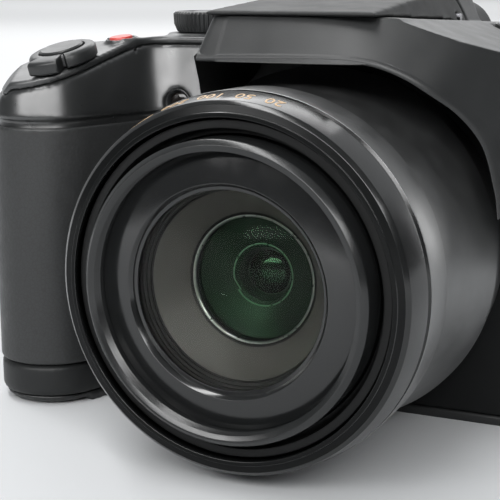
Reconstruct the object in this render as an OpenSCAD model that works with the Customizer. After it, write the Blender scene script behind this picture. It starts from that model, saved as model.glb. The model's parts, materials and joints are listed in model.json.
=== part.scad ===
// Bridge camera with a two-stage telescopic zoom lens and a pop-up flash.
// Frame: +X to the far side, +Y to the back, +Z up; the lens points along -Y.
// The origin is the mouth of the tripod socket, straight below the lens axis.

/* [Lens] */
// Nominal diameter of the filter thread
filter_d = 55; // [52:0.5:58]
// Radial depth of the filter thread
thread_cut = 0.3; // [0.2:0.05:0.4]
// Wall of the front barrel outside the filter thread
front_wall = 2; // [1.7:0.1:2.6]
// Depth from the front rim to the name ring
ring_recess = 3.2; // [2.6:0.1:4]
// Thickness of the name ring
name_t = 1.4; // [1:0.1:2]
// Radius of the clear opening in the name ring
aperture_r = 20.3; // [18:0.1:22]
// Radius of curvature of the front glass
glass_curve = 115; // [100:1:180]
// Radius of the inner glass
inner_glass_r = 12; // [10:0.1:13]
// Radial space between the front and middle barrels
barrel_gap = 1.5; // [1.2:0.1:2]
// Wall of the middle barrel
middle_wall = 1.8; // [1.4:0.1:2.4]
// Wall of the trim ring at its front lip
trim_wall = 4.5; // [4:0.1:5.5]
// Length of the trim ring
trim_len = 19.1; // [17:0.1:22]
// Lead of the front rim ahead of the trim ring
front_lead = 2.9; // [2:0.1:4]
// Depth of the middle barrel's rim behind the trim ring's face
middle_set = 1.5; // [1:0.1:2.5]
// Length of lens ahead of the casing's front wall
lens_len = 64; // [62:0.5:70]
// Rise of the flange above the side of the trim ring
flange_step = 2; // [1:0.1:3]
// Distance of the flange ahead of the casing's front wall
flange_set = 12.2; // [10:0.1:14]
// Travel of each zoom stage
zoom_stage = 28; // [22:1:30]
// Length of each barrel that stays held at full zoom
stage_hold = 12.6; // [10:0.1:14]

/* [Casing] */
// Reach of the casing from the lens axis to the grip side
grip_side = 78.5; // [77:0.5:82]
// Reach of the casing from the lens axis to the far side
far_side = 52; // [51:0.5:58]
// Distance of the front wall ahead of the tripod socket
body_front = 21; // [20:0.5:24]
// Distance of the back behind the tripod socket
body_rear = 21; // [20:0.5:26]
// Space below the lens flange
floor_gap = 0.4; // [0.3:0.1:3]
// Wall of the covers
wall = 2.4; // [2:0.1:3]
// Thickness of the deck over the grip
deck_t = 1.6; // [1.4:0.1:2]
// Thickness of the hump's roof
roof_t = 2.4; // [2:0.1:3]
// Thickness of the base plate
base_t = 2.5; // [2.2:0.1:3.2]
// Radius of the casing's upright corners
corner_r = 8; // [6:0.5:10]
// Radius of the grip side's upper edge
shoulder_r = 16; // [13:0.5:17]
// Height of the deck above the lens axis
deck_rise = 45; // [43:0.5:50]

/* [Grip] */
// Radius of the grip's nose
nose_r = 12.5; // [12:0.5:14]
// Reach of the grip ahead of the front wall
grip_reach = 32; // [30:0.5:34]
// Angle of the grip's inner flank
flank_turn = 15; // [8:1:20]
// Radius of the hollow between grip and front wall
valley_r = 8; // [6:0.5:10]
// Radius of the grip's lower edge
grip_edge = 4; // [3:0.5:5]
// Pitch of the deck over the grip
deck_pitch = 15.2; // [10:0.2:20]
// Roll of the deck over the grip
deck_roll = 6.7; // [3:0.1:9]
// Thickness of the grip rubber
rubber_t = 1.5; // [1.2:0.1:1.8]
// Height of the grip rubber's lower edge above the base
rubber_low = 10; // [8:0.5:14]
// Height of the grip rubber
rubber_h = 55.4; // [48:0.2:58]
// Width of the groove above the grip rubber
groove_w = 1.8; // [1:0.1:2.5]

/* [Hump] */
// Rise of the hump's ledge above the lens axis
ledge_rise = 41.7; // [41:0.1:44]
// Reach of the hump's lower front edge ahead of the front wall
hump_reach = 37; // [34:0.5:39]
// Half the width of the hump's front panel
panel_half = 19; // [17:0.5:20]
// Height of the hump's front panel
panel_h = 9; // [8:0.2:10]
// Backward lean of the front panel over its height
panel_lean = 6; // [4:0.2:8]
// Radius of the recess round the lens barrel
recess_space = 7.4; // [6.5:0.1:8]
// Half the width of the hump at the deck
hump_half = 22; // [21:0.5:23]
// Height of the flash cover above the front panel
lid_rise = 4.1; // [3.6:0.1:5]
// Opening angle of the flash
flash_open = 40; // [30:1:45]

/* [Controls] */
// Radius of the zoom lever's rim
lever_r = 7.8; // [7:0.1:8.4]
// Radius of the shutter button
shutter_r = 5; // [4:0.1:5.4]
// Radius of the movie button
movie_r = 2.9; // [2.4:0.1:3.2]
// Radius of the mode dial
mode_r = 11; // [9:0.2:12]
// Height of the mode dial's knurled part
mode_h = 3.4; // [2.6:0.1:4.5]
// Number of grooves round each dial
knurl_n = 36; // [24:2:48]
// Radius of the rear dial
rear_dial_r = 8; // [7:0.2:9]
// Thickness of the rear dial
rear_dial_t = 5; // [4:0.2:6]
// Radius of the round rear buttons
button_r = 3.1; // [2.5:0.1:3.6]
// Height of the buttons above their cover
button_rise = 0.9; // [0.7:0.1:1.4]
// Outer radius of the cursor ring
cursor_r = 11.5; // [10.5:0.1:12.5]
// Radius of the menu button
menu_r = 4.2; // [3.6:0.1:4.8]

/* [Back] */
// Width of the monitor glass
glass_w = 70; // [64:0.5:71]
// Height of the monitor glass
glass_h = 50; // [44:0.5:52]
// Thickness of the monitor glass
glass_t = 1.6; // [1.2:0.1:2]
// Width of the eyecup
cup_w = 40; // [36:0.5:42]
// Height of the eyecup
cup_h = 25; // [22:0.5:26]
// Depth of the eyecup
cup_d = 13; // [10:0.5:14]
// Wall of the eyecup
cup_wall = 4.2; // [3.5:0.1:5]

/* [Power and ports] */
// Thickness of the battery
battery_t = 12; // [10:0.2:13]
// Depth of the battery
battery_d = 31; // [28:0.5:32]
// Height of the battery
battery_h = 53; // [48:0.5:55]
// Thickness of the memory card
card_t = 2.1; // [1.9:0.1:2.4]
// Depth of the memory card
card_d = 24; // [22:0.5:25]
// Height of the memory card
card_h = 32; // [28:0.5:34]
// Wall of the battery box
box_wall = 1; // [0.8:0.1:1.2]
// Width of the port cover
port_w = 13; // [12:0.2:14]
// Height of the port cover
port_h = 26; // [24:0.5:30]
// Thickness of the port cover
port_t = 1.6; // [1.4:0.1:1.8]
// Minor radius of the tripod thread
tripod_r = 2.6; // [2.5:0.02:2.7]
// Depth of the tripod thread
tripod_depth = 7; // [5:0.5:8]

/* [Clearances] */
// Space between covers at a seam
seam = 0.15; // [0.1:0.01:0.25]
// Radial space of a running fit
run_fit = 0.08; // [0.05:0.01:0.1]
// Space round a sliding or pressing part
play = 0.3; // [0.25:0.05:0.4]

/* [Hidden] */
$fn = 96;

// Radii of the lens, from the filter thread outwards
thread_r = filter_d / 2 - thread_cut;
front_r = filter_d / 2 + front_wall;
middle_in = front_r + barrel_gap;
middle_r = middle_in + middle_wall;
slide_gap = 0.4;
lip_r = middle_r + slide_gap;
trim_r = lip_r + trim_wall;
bore_step = 1;
barrel_in = lip_r + bore_step;
barrel_wall = 1.8;
neck_r = barrel_in + barrel_wall;
flange_r = trim_r + flange_step;
foot_in = 1.5;
foot_r = flange_r - foot_in;
spigot_step = 0.3;
spigot_r = barrel_in + spigot_step;
spigot_wall = 3.5;
rear_bore_r = spigot_r - spigot_wall;
axis_h = flange_r + floor_gap;

// Stations along the lens
front_y = -body_front;
rear_y = body_rear;
rim_y = front_y - lens_len;
trim_y = rim_y + front_lead;
trim_end = trim_y + trim_len;
lip_t = 2.3;
touch = 0.05;
middle_y = trim_y + middle_set;
middle_end = middle_y + zoom_stage + stage_hold;
front_end = rim_y + zoom_stage + stage_hold + slide_gap;
front_collar = 3;
middle_collar = 4;
flange_y = front_y - flange_set;
flange_t = 1.6;
name_y = rim_y + ring_recess;
seat_y = name_y + name_t;
bulkhead_t = 2;
baffle_y = seat_y + bulkhead_t + 2 * touch;
iris_t = 7;
iris_gap = 4;
iris_y = middle_end + iris_gap;
base_gap = 0.2;
base_y = front_y + wall + base_gap;
lens_base_t = 2.5;
sensor_y = base_y + lens_base_t;
sensor_space = 3.7;
chassis_y = sensor_y + sensor_space;
chassis_t = 1;
board_space = 5.2;
board_y = chassis_y + chassis_t + board_space;
board_t = 1.4;

// Heights and reaches of the casing
deck_z = axis_h + deck_rise;
cap_drop = 12.3;
cap_z = deck_z - cap_drop;
seam_drop = 14.3;
hump_seam_z = deck_z - seam_drop;
crown_z = 120;
beyond = 150;
cover_split = -4;
hump_lip = 1.5;
hump_left = hump_half + hump_lip;
ledge_z = axis_h + ledge_rise;
ledge_t = 1.6;
panel_y = front_y - hump_reach;
panel_top = ledge_z + panel_h;
lid_z = panel_top + lid_rise;
recess_r = flange_r + recess_space;
nose_x = nose_r - grip_side;
nose_y = front_y - grip_reach + nose_r;

// Centre of the zoom lever on the sloping deck
lever_in = 6;
lever_lead = 1.2;
lever_drop = 5.7;
lever_x = nose_x + lever_in;
lever_y = nose_y - lever_lead;
lever_z = deck_z - lever_drop;

// Depth by which a face runs into a round one, so that the two cross instead of touching
graze = 0.02;

// Shapes that repeat

module lens_axis() translate([0, 0, axis_h]) rotate([-90, 0, 0]) children();

// A turned piece: the outline's first number is radius and its second the station along Y
module turned(points) lens_axis() rotate_extrude() polygon(points);

module ring(inner, outer, from, to)
    turned([[inner, from], [outer, from], [outer, to], [inner, to]]);

module rounded_square(w, h, r) {
    square([w - 2 * r, h], center = true);
    square([w, h - 2 * r], center = true);
    for (sx = [-1, 1], sy = [-1, 1])
        translate([sx * (w / 2 - r), sy * (h / 2 - r)]) circle(r);
}

// A slab drawn in XZ, from one depth to another
module slab(from, to)
    translate([0, to, 0]) rotate([90, 0, 0]) linear_extrude(to - from) children();

// A slab drawn in YZ, from one reach to another
module side_slab(from, to)
    translate([from, 0, 0]) rotate([90, 0, 90]) linear_extrude(to - from) children();

// Rods along X and along Y
module cross_rod(r, from, to, y, z)
    translate([from, y, z]) rotate([0, 90, 0]) cylinder(r = r, h = to - from);

module long_rod(r, from, to, x, z)
    translate([x, from, z]) rotate([-90, 0, 0]) cylinder(r = r, h = to - from);

// A block given by its two corners
module block(low, high) translate(low) cube(high - low);

// A lens element on its own Z axis: an edge band with a bulge on either side
module element(r, from, to, front_curve, rear_curve, land) {
    cap_r = r - land;
    front_c = from + sqrt(pow(front_curve, 2) - pow(cap_r, 2));
    rear_c = to - sqrt(pow(rear_curve, 2) - pow(cap_r, 2));
    middle = (from + to) / 2;
    rotate_extrude() {
        translate([0, from]) square([r, to - from]);
        intersection() {
            translate([0, front_c]) circle(front_curve, $fn = 720);
            translate([0, middle - r]) square([cap_r, r]);
        }
        intersection() {
            translate([0, rear_c]) circle(rear_curve, $fn = 720);
            translate([0, middle]) square([cap_r, r]);
        }
    }
}

// Grooves round a dial that stands on its own Z axis
module knurl(r, h, depth)
    for (i = [0 : knurl_n - 1])
        rotate(360 / knurl_n * i) translate([r + depth, 0, 0]) cylinder(r = 2 * depth, h = h, $fn = 24);

// A round push button: Z is out of the cover, and its flange is caught behind the cover
button_catch = 0.9;
button_flange_t = 1;
button_travel = 0.6;
edge = 0.3;

module push_button(r, rise, cover) {
    flange = -cover - play;
    rotate_extrude() polygon([
        [0, flange - button_flange_t], [r + button_catch, flange - button_flange_t],
        [r + button_catch, flange], [r, flange], [r, rise - edge], [r - edge, rise], [0, rise]
    ]);
}

module through_hole(r) translate([0, 0, -beyond / 8]) cylinder(r = r, h = beyond / 4);

// Outline of the casing in plan, drawn in by e

flank_cos = cos(flank_turn);
flank_sin = sin(flank_turn);
flank_reach = flank_cos * nose_x - flank_sin * nose_y + nose_r;
valley_y = front_y - valley_r;
valley_x = (flank_reach + valley_r + flank_sin * valley_y) / flank_cos;

module grip_plan(e) {
    r = nose_r - e;
    start = [nose_x + r * flank_cos, nose_y - r * flank_sin];
    reach = valley_r + e - graze;
    meet = [valley_x - reach * flank_cos, valley_y + reach * flank_sin];
    translate([nose_x, nose_y]) circle(r);
    polygon([
        [e - grip_side, nose_y], start, meet, [valley_x, valley_y],
        [valley_x, 0], [e - grip_side, 0]
    ]);
}

module plan(e = 0) {
    w = grip_side + far_side - 2 * e;
    d = body_front + body_rear - 2 * e;
    translate([(far_side - grip_side) / 2, (rear_y + front_y) / 2]) rounded_square(w, d, corner_r - e);
    difference() {
        grip_plan(e);
        translate([valley_x, valley_y]) circle(valley_r + e);
    }
}

// Outline of the casing from the front: shoulder, deck, hump and falling far shoulder
shoulder_drop = 1.7;
shoulder_z = deck_z - shoulder_drop;
far_rise = 5;
far_top = deck_z + far_rise;
far_drop = 5.7;
far_z = deck_z - far_drop;
far_edge = 4;
knee_in = 18.5;
knee_drop = 0.2;
deck_knee_x = nose_x + knee_in;

module shoulder_waste(r) mirror([0, 1]) difference() {
    square(r);
    translate([r, r]) circle(r);
}

module crown_outline() {
    difference() {
        polygon([
            [-grip_side, -1], [far_side, -1], [far_side, far_z - far_edge],
            [far_side - far_edge, far_z + far_edge / 3], [hump_half, far_top], [hump_half, crown_z],
            [-hump_half, crown_z], [-hump_left, deck_z], [deck_knee_x, deck_z - knee_drop],
            [shoulder_r - grip_side, shoulder_z], [-grip_side, shoulder_z]
        ]);
        translate([-grip_side, shoulder_z]) shoulder_waste(shoulder_r);
    }
}

// The rounded upper corner of the grip's nose, turned towards its outer front
nose_turn = 36;
nose_drop = 3;
nose_shoulder_z = deck_z - nose_drop;
nose_shoulder_more = 1.8;
nose_shoulder_r = shoulder_r + nose_shoulder_more;

module nose_corner_waste()
    translate([nose_x, nose_y, 0]) rotate(nose_turn) slab(-beyond / 3, beyond / 3)
        translate([-nose_r - 2 * graze, nose_shoulder_z]) {
            shoulder_waste(nose_shoulder_r);
            translate([-nose_r, 0]) square([nose_r + nose_shoulder_r, beyond / 5]);
        }

// Everything above the deck that slopes down over the grip
module deck_frame()
    translate([lever_x, lever_y, lever_z]) rotate([deck_pitch, -deck_roll, 0]) children();

module above_deck()
    intersection() {
        deck_frame() translate([-beyond, -beyond, 0]) cube([2 * beyond, 2 * beyond, beyond]);
        block([-beyond, -beyond, 0], [-hump_left, beyond, beyond]);
    }

// The plane under the flash cover, which falls a little towards the back
lid_fall = 2.2;
function lid_plane(y) = panel_top - (y - panel_y - panel_lean) * tan(lid_fall);

module above_lid_plane()
    translate([-beyond, panel_y + panel_lean, panel_top]) rotate([-lid_fall, 0, 0])
        translate([0, -beyond / 3, 0]) cube([2 * beyond, beyond, beyond]);

module crown(drop = 0) {
    translate([0, 0, -drop]) difference() {
        slab(-beyond, beyond) crown_outline();
        above_deck();
        above_lid_plane();
        nose_corner_waste();
    }
}

// Lower edge of the grip's nose and of its outer side, as the waste that a fillet leaves
module edge_waste(r) difference() {
    translate([-r, -1]) square([2 * r, r + 1]);
    translate([-r, r]) circle(r);
}

module grip_edge_waste() {
    translate([nose_x, nose_y, 0]) rotate(180) rotate_extrude(angle = 180 - flank_turn)
        translate([nose_r, 0]) edge_waste(grip_edge);
    translate([-grip_side, nose_y, 0]) rotate([-90, 0, 0]) mirror([0, 1, 0]) mirror([1, 0, 0])
        linear_extrude(rear_y - nose_y) edge_waste(grip_edge);
}

module casing()
    difference() {
        intersection() {
            translate([0, 0, base_t]) linear_extrude(crown_z) plan();
            crown();
        }
        grip_edge_waste();
    }

module cavity()
    intersection() {
        linear_extrude(crown_z) plan(wall);
        crown(deck_t);
    }

// The hump and its slanted flank: rods along its edges, wrapped by one skin
lean_len = sqrt(panel_lean * panel_lean + panel_h * panel_h);
panel_normal = [0, -panel_h / lean_len, panel_lean / lean_len];
panel_corner_r = 8;
panel_left_r = 1.2;
left_lean = 1.6;
corner_in = 4;
flank_r = 6;
flank_lean = 2.5;
flank_back = 5;
flank_back_y = front_y + flank_back;
cheek_out = 7;
cheek_x = -hump_half - cheek_out;
cheek_lead = 9;
cheek_y = front_y - cheek_lead;
cheek_cut = 14;
cheek_r = 2;

module edge_rod(x, r, inset, x_lean) {
    foot = [x, panel_y, ledge_z] - r * panel_normal;
    lean = [x_lean, panel_lean, panel_h];
    for (k = [-1.5, 1.7])
        translate(foot + k * lean) sphere(r - inset, $fn = 32);
}

// Reach of the flank and of the cheek along the front panel's lean, in panel heights
flank_span = [-7, 4];
cheek_span = [-1.5, 1.7];

module hump_skin(inset = 0)
    hull() {
        edge_rod(panel_half - corner_in, panel_corner_r, inset, -left_lean);
        edge_rod(panel_left_r - panel_half, panel_left_r + inset, inset, left_lean);
        for (k = flank_span)
            translate([far_side - flank_r, flank_back_y + k * flank_lean, ledge_z + k * panel_h])
                sphere(flank_r - inset, $fn = 32);
        for (y = [cheek_y, flank_back_y], k = cheek_span)
            translate([cheek_x + cheek_r + inset, y, ledge_z] + k * [left_lean, panel_lean, panel_h])
                sphere(cheek_r, $fn = 32);
    }

// Space round the barrel below the hump, with a flat roof
module barrel_space(extra = 0)
    intersection() {
        long_rod(recess_r + extra, -beyond, front_y - seam + extra, 0, axis_h);
        block([-beyond, -beyond, 0], [beyond, beyond, ledge_z + extra]);
    }

module cheek_waste()
    block([-beyond, -beyond, 0], [0, cheek_y - cheek_cut, ledge_z]);

// Below the brace that runs from the flank down to the front wall
brace_low = 32;
brace_slope = 51;

module below_brace()
    translate([-beyond, front_y, brace_low]) rotate([-brace_slope, 0, 0])
        translate([0, -beyond, -beyond]) cube([2 * beyond, 2 * beyond, beyond]);

// Well that takes the folded flash, and the ears that carry its hinge
well_in = 5;
well_half = hump_half - well_in;
well_back = 9.2;
well_front = panel_y + well_back;
well_floor = ledge_z + ledge_t;
knuckle_r = 5.3;
hinge_y = 3;
hinge_z = lid_z - knuckle_r;
finder_gap = 2;
finder_y = hinge_y + knuckle_r + play + finder_gap;
pin_r = 0.9;
pin_in = 2;
ear_in = 2.5;
ear_x = well_half - ear_in;
ear_t = 2.4;
ear_r = 3.2;

// Outline of the flash cover and of the viewfinder top from the front, drawn in by e
lid_top_half = hump_half - well_in;
lid_half = hump_half - play;
lid_low = hinge_z - knuckle_r;

module lid_outline(low, e = 0)
    polygon([
        [e - lid_half, low], [lid_half - e, low], [lid_half - e, lid_low],
        [lid_top_half - e, lid_z - e], [e - lid_top_half, lid_z - e], [e - lid_half, lid_low]
    ]);

module flash_well() {
    block([-well_half, well_front, well_floor], [well_half, hinge_y, crown_z]);
    cross_rod(knuckle_r + 2 * play, -lid_half - play, lid_half + play, hinge_y, hinge_z);
}

module flash_ears()
    for (side = [-1, 1]) {
        x = side * ear_x - ear_t / 2;
        cross_rod(ear_r, x, x + ear_t, hinge_y, hinge_z);
        block([x, hinge_y - ear_r, ledge_z], [x + ear_t, hinge_y + ear_r, hinge_z]);
    }

module flash_shelf() {
    block([-hump_half, front_y, ledge_z], [hump_half, finder_y, well_floor]);
    for (side = [-1, 1])
        translate([side * (hump_half - wall / 2), 0, 0])
            block([-wall / 2, front_y, ledge_z], [wall / 2, finder_y, deck_z + 1]);
}

// Places of the controls
movie_in = 12.2;
movie_lead = 6;
movie_drop = 0.6;
movie_x = nose_x + movie_in;
movie_y = front_y - movie_lead;
movie_z = deck_z - movie_drop;
movie_stem_r = 1.5;
movie_keeper_r = 2.2;
movie_sink = 1;
movie_boss = 3.1;
movie_pocket = 4;
collar_w = 0.8;
collar_h = 0.4;
mode_gap = 3.5;
mode_x = -hump_left - mode_r - mode_gap;
mode_y = -7;
mode_lift = 0.4;
mode_base = deck_z + mode_lift;
mode_plate = 3.5;
mode_foot_h = 1.9;
mode_foot_in = 1.7;
mode_foot_r = mode_r - mode_foot_in;
mode_axle_r = 3;
mode_keeper_t = 2;
mode_catch = 1.2;
switch_out = 9.5;
switch_x = mode_x - switch_out;
switch_back = 7;
switch_y = mode_y + mode_r + switch_back;
switch_travel = 4;
switch_z = deck_z;
switch_plate = 2.6;
switch_boss = [14, 8, 2];
switch_stem = 2.4;
flash_button_out = 9;
flash_button_x = hump_half + flash_button_out;
flash_button_y = 3;
far_fall = atan((far_top - far_z - far_edge / 3) / (far_side - far_edge - hump_half));
flash_button_z = far_top - (flash_button_x - hump_half) * tan(far_fall);
glass_side = 4;
glass_low = 6;
glass_x = far_side - glass_side - glass_w / 2;
glass_z = glass_low + glass_h / 2;
glass_left = glass_x - glass_w / 2;
cursor_out = 2.5;
cursor_lift = 2;
cursor_x = (glass_left + corner_r - grip_side) / 2 - cursor_out;
cursor_z = glass_z + cursor_lift;
play_out = 11.5;
play_gap = 6.5;
play_x = glass_left - play_out;
play_z = cursor_z + cursor_r + play_gap;
lock_out = 14;
lock_gap = 13;
lock_x = glass_left - lock_out;
lock_z = play_z + lock_gap;
cup_lift = 10;
cup_z = hump_seam_z + cup_lift;
viewfinder_gap = 12;
viewfinder_lift = 6;
viewfinder_x = cup_w / 2 + viewfinder_gap;
viewfinder_z = hump_seam_z + viewfinder_lift;
dial_in = 9.5;
dial_out = 2.2;
dial_drop = 10;
dial_x = nose_x + dial_in;
dial_y = rear_y - rear_dial_r + dial_out;
dial_z = deck_z - dial_drop;
dial_axle_r = 1.5;
dial_slot = sqrt(pow(rear_dial_r, 2) - pow(rear_y - wall - dial_y, 2)) + play;
dial_lug_t = 1.5;
dial_lug_half = 4;
dioptre_gap = 6;
dioptre_drop = 4;
dioptre_x = -hump_left - dioptre_gap;
dioptre_z = cup_z - dioptre_drop;
dioptre_r = 3.6;
dioptre_axle_r = 1.5;
dioptre_t = 2;
dioptre_n = 16;
dioptre_cut = 0.45;
dioptre_foot = 1.5;
dioptre_catch = 0.8;
lamp_out_x = 0.3;
lamp_rise = 29.3;
lamp_x = valley_x - lamp_out_x;
lamp_z = axis_h + lamp_rise;
lamp_r = 3.2;
lamp_out = 0.8;
lamp_flange = 1.2;
eye_r = 9.5;

module movie_frame()
    translate([movie_x, movie_y, movie_z]) rotate([deck_pitch / 2, -deck_roll / 2, 0]) children();

module mode_frame() translate([mode_x, mode_y, mode_base]) children();

module switch_frame() translate([switch_x, switch_y, switch_z]) children();

module flash_button_frame()
    translate([flash_button_x, flash_button_y, flash_button_z]) rotate([0, far_fall, 0]) children();

// A local frame on the back, with Z out of it
module back_frame(x, z) translate([x, rear_y, z]) rotate([-90, 0, 0]) children();

// Covers

rubber_over = 3;
rubber_end = 4;
rubber_x1 = valley_x + rubber_over;
rubber_y1 = cover_split - rubber_end;

module seat_of_rubber()
    difference() {
        block([-beyond, -beyond, rubber_low - 2 * edge],
            [rubber_x1, rubber_y1, rubber_low + rubber_h + groove_w]);
        linear_extrude(crown_z) plan(rubber_t - edge + seam);
    }

module lamp_frame() translate([lamp_x, front_y, lamp_z]) rotate([90, 0, 0]) children();

// The part of the casing below the top cover
module under_deck(low, high)
    intersection() {
        casing();
        union() {
            block([-beyond, low, 0], [beyond, high, cap_z - seam]);
            intersection() {
                crown(deck_t + seam);
                block([-beyond, low, cap_z - 1], [beyond, high, crown_z]);
            }
        }
    }

module front_cover()
    color("#2b2e30") difference() {
        under_deck(-beyond, cover_split - seam);
        cavity();
        block([-hump_left, front_y - 1, hump_seam_z], [beyond, beyond, crown_z]);
        long_rod(spigot_r + run_fit, front_y - wall, front_y + 2 * wall, 0, axis_h);
        seat_of_rubber();
        deck_bosses(seam);
        movie_frame() translate([0, 0, -movie_boss - movie_pocket])
            cylinder(r = movie_keeper_r + play, h = movie_pocket);
        deck_frame() translate([0, 0, -keeper_depth - play])
            cylinder(r = keeper_r + play, h = keeper_depth);
        lamp_frame() through_hole(lamp_r + run_fit);
    }

module grip_rubber()
    color("#222425") intersection() {
        translate([0, 0, rubber_low]) linear_extrude(rubber_h) difference() {
            plan(-edge);
            plan(rubber_t - edge);
        }
        block([-beyond, -beyond, 0], [rubber_x1 - seam, rubber_y1 - seam, crown_z]);
    }

// Thick places of the deck round the mode dial, the switch and the movie button
module deck_bosses(gap) {
    mode_frame() translate([0, 0, -mode_plate - gap])
        cylinder(r = mode_r + 1 + gap, h = mode_plate + gap);
    switch_frame() translate([0, 0, -switch_plate - gap]) linear_extrude(switch_plate + gap)
        rounded_square(switch_boss[0] + 2 * gap, switch_boss[1] + 2 * gap, switch_boss[2] + gap);
    movie_frame() translate([0, 0, -movie_boss - gap])
        cylinder(r = movie_r + collar_w + gap, h = movie_boss + gap + collar_h);
}

module top_cover()
    color("#303335") difference() {
        union() {
            difference() {
                intersection() {
                    casing();
                    block([-beyond, -beyond, cap_z], [-hump_left - seam, beyond, crown_z]);
                }
                crown(deck_t);
            }
            deck_bosses(0);
        }
        deck_frame() through_hole(sleeve_r + 4 * touch);
        movie_frame() {
            through_hole(movie_stem_r + play);
            translate([0, 0, -movie_sink - button_travel - play])
                cylinder(r = movie_r + play, h = movie_pocket);
        }
        mode_frame() through_hole(mode_axle_r + run_fit);
        switch_frame() translate([0, 0, -beyond / 8]) linear_extrude(beyond / 4)
            square([switch_stem + switch_travel + 2 * play, switch_stem + 2 * play], center = true);
    }

module hump_cover()
    color("#34373a") {
        difference() {
            union() {
                difference() {
                    hump_shell();
                    hump_hollow();
                }
                flash_shelf();
            }
            flash_well();
            long_rod(spigot_r + run_fit, front_y - wall, front_y + 2 * wall, 0, axis_h);
            back_frame(0, cup_z) through_hole(eye_r + 2 * touch);
            back_frame(viewfinder_x, viewfinder_z) through_hole(button_r + play);
            flash_button_frame() through_hole(button_r + play);
        }
        difference() {
            flash_ears();
            cross_rod(pin_r + touch / 2, -hump_half, hump_half, hinge_y, hinge_z);
        }
    }

module hump_shell()
    difference() {
        union() {
            intersection() {
                hump_skin();
                crown();
                union() {
                    block([-beyond, -beyond, 0], [far_side, front_y - seam, crown_z]);
                    block([-hump_left, front_y - 1, hump_seam_z + seam],
                        [far_side - 1, front_y + 1, crown_z]);
                }
            }
            intersection() {
                linear_extrude(crown_z) plan();
                crown();
                block([-hump_left, front_y - seam, hump_seam_z + seam], [beyond, beyond, crown_z]);
            }
            intersection() {
                slab(hinge_y, rear_y) lid_outline(hump_seam_z + seam);
                linear_extrude(crown_z) plan();
            }
        }
        barrel_space();
        cheek_waste();
        below_brace();
    }

module hump_hollow() {
    difference() {
        intersection() {
            hump_skin(wall);
            crown(roof_t);
            block([-beyond, -beyond, 0], [far_side - wall, front_y + wall + 1, crown_z]);
        }
        barrel_space(ledge_t);
    }
    intersection() {
        linear_extrude(crown_z) plan(wall);
        union() {
            intersection() {
                crown(roof_t);
                block([wall - hump_half, -beyond, 0], [beyond, beyond, crown_z]);
            }
            block([-beyond, -beyond, 0], [0, beyond, deck_z - roof_t]);
            slab(finder_y, rear_y) lid_outline(hump_seam_z, wall);
        }
    }
}

glass_corner = 2;
glass_seat = 3;

module rear_wall_cuts() {
    back_frame(glass_x, glass_z) {
        translate([0, 0, -glass_t]) linear_extrude(glass_t + 1)
            rounded_square(glass_w, glass_h, glass_corner);
        translate([0, 0, -beyond / 8]) linear_extrude(beyond / 4)
            rounded_square(glass_w - 2 * glass_seat, glass_h - 2 * glass_seat, glass_corner);
    }
    back_frame(cursor_x, cursor_z) through_hole(cursor_r + play);
    for (p = [[play_x, play_z], [lock_x, lock_z]])
        back_frame(p[0], p[1]) through_hole(button_r + play);
    back_frame(dioptre_x, dioptre_z) through_hole(dioptre_axle_r + run_fit);
    block([dial_x - dial_slot, dial_y, dial_z - play - rear_dial_t / 2],
        [dial_x + dial_slot, rear_y + 1, dial_z + play + rear_dial_t / 2]);
}

// Two lugs inside the back that hold the axle of the rear dial
module dial_lugs()
    for (side = [0, 1])
        translate([dial_x, 0, dial_z]) mirror([0, 0, side]) translate([0, 0, rear_dial_t / 2 + play])
            difference() {
                block([-dial_lug_half, dial_y - dial_lug_half, 0],
                    [dial_lug_half, rear_y - wall / 2, dial_lug_t]);
                translate([0, dial_y, 0]) through_hole(dial_axle_r + run_fit);
            }

glass_frame_t = 4;
glass_rim = 1.5;

module rear_cover()
    color("#2b2e30") difference() {
        union() {
            difference() {
                under_deck(cover_split, beyond);
                cavity();
                deck_bosses(seam);
                block([-hump_left, -beyond, hump_seam_z], [beyond, beyond, crown_z]);
            }
            back_frame(glass_x, glass_z) translate([0, 0, -glass_frame_t]) linear_extrude(glass_frame_t)
                rounded_square(glass_w + 2 * glass_rim, glass_h + 2 * glass_rim, 2 * glass_rim);
            dial_lugs();
            port_floor();
        }
        rear_wall_cuts();
        port_cuts();
        lug_frames() rotate([0, 90, 0]) through_hole(lug_stem_r + touch);
    }

module base_plate()
    color("#26282a") difference() {
        linear_extrude(base_t - seam) plan();
        grip_edge_waste();
        door_opening();
        through_hole(socket_r + run_fit);
        long_rod(door_pin_r + run_fit, door_y0 - door_pin_out - 2 * touch, door_y1 + door_pin_out + 2 * touch,
            door_hinge_x, door_hinge_z);
        latch_notch();
    }

thumb_w = 15;
thumb_h = 20;
thumb_t = 1.5;
thumb_corner = 5;
thumb_dish_r = 20;
thumb_dish_z = -3;
thumb_out = 4;
thumb_gap = 3.5;
thumb_x = dial_x - thumb_out;
thumb_z = cursor_z + cursor_r + thumb_h / 2 + thumb_gap;

module thumb_rest()
    color("#222425") back_frame(thumb_x, thumb_z) difference() {
        linear_extrude(thumb_t + 1) rounded_square(thumb_w, thumb_h, thumb_corner);
        cross_rod(thumb_dish_r, -thumb_w, thumb_w, thumb_dish_z, thumb_t + thumb_dish_r);
    }

module af_lamp()
    color("#5a3a2a") lamp_frame() rotate_extrude() polygon([
        [0, -wall - lamp_flange], [lamp_r + 1, -wall - lamp_flange], [lamp_r + 1, -wall - touch],
        [lamp_r, -wall - touch], [lamp_r, lamp_out - edge], [lamp_r - edge, lamp_out], [0, lamp_out]
    ]);

// Lens

barrel_end = 0.5;
flare_len = flange_y - trim_end;
flare_rise = flange_r - neck_r;
flare_r = (pow(flare_len, 2) + pow(flare_rise, 2)) / (2 * flare_rise);

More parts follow.
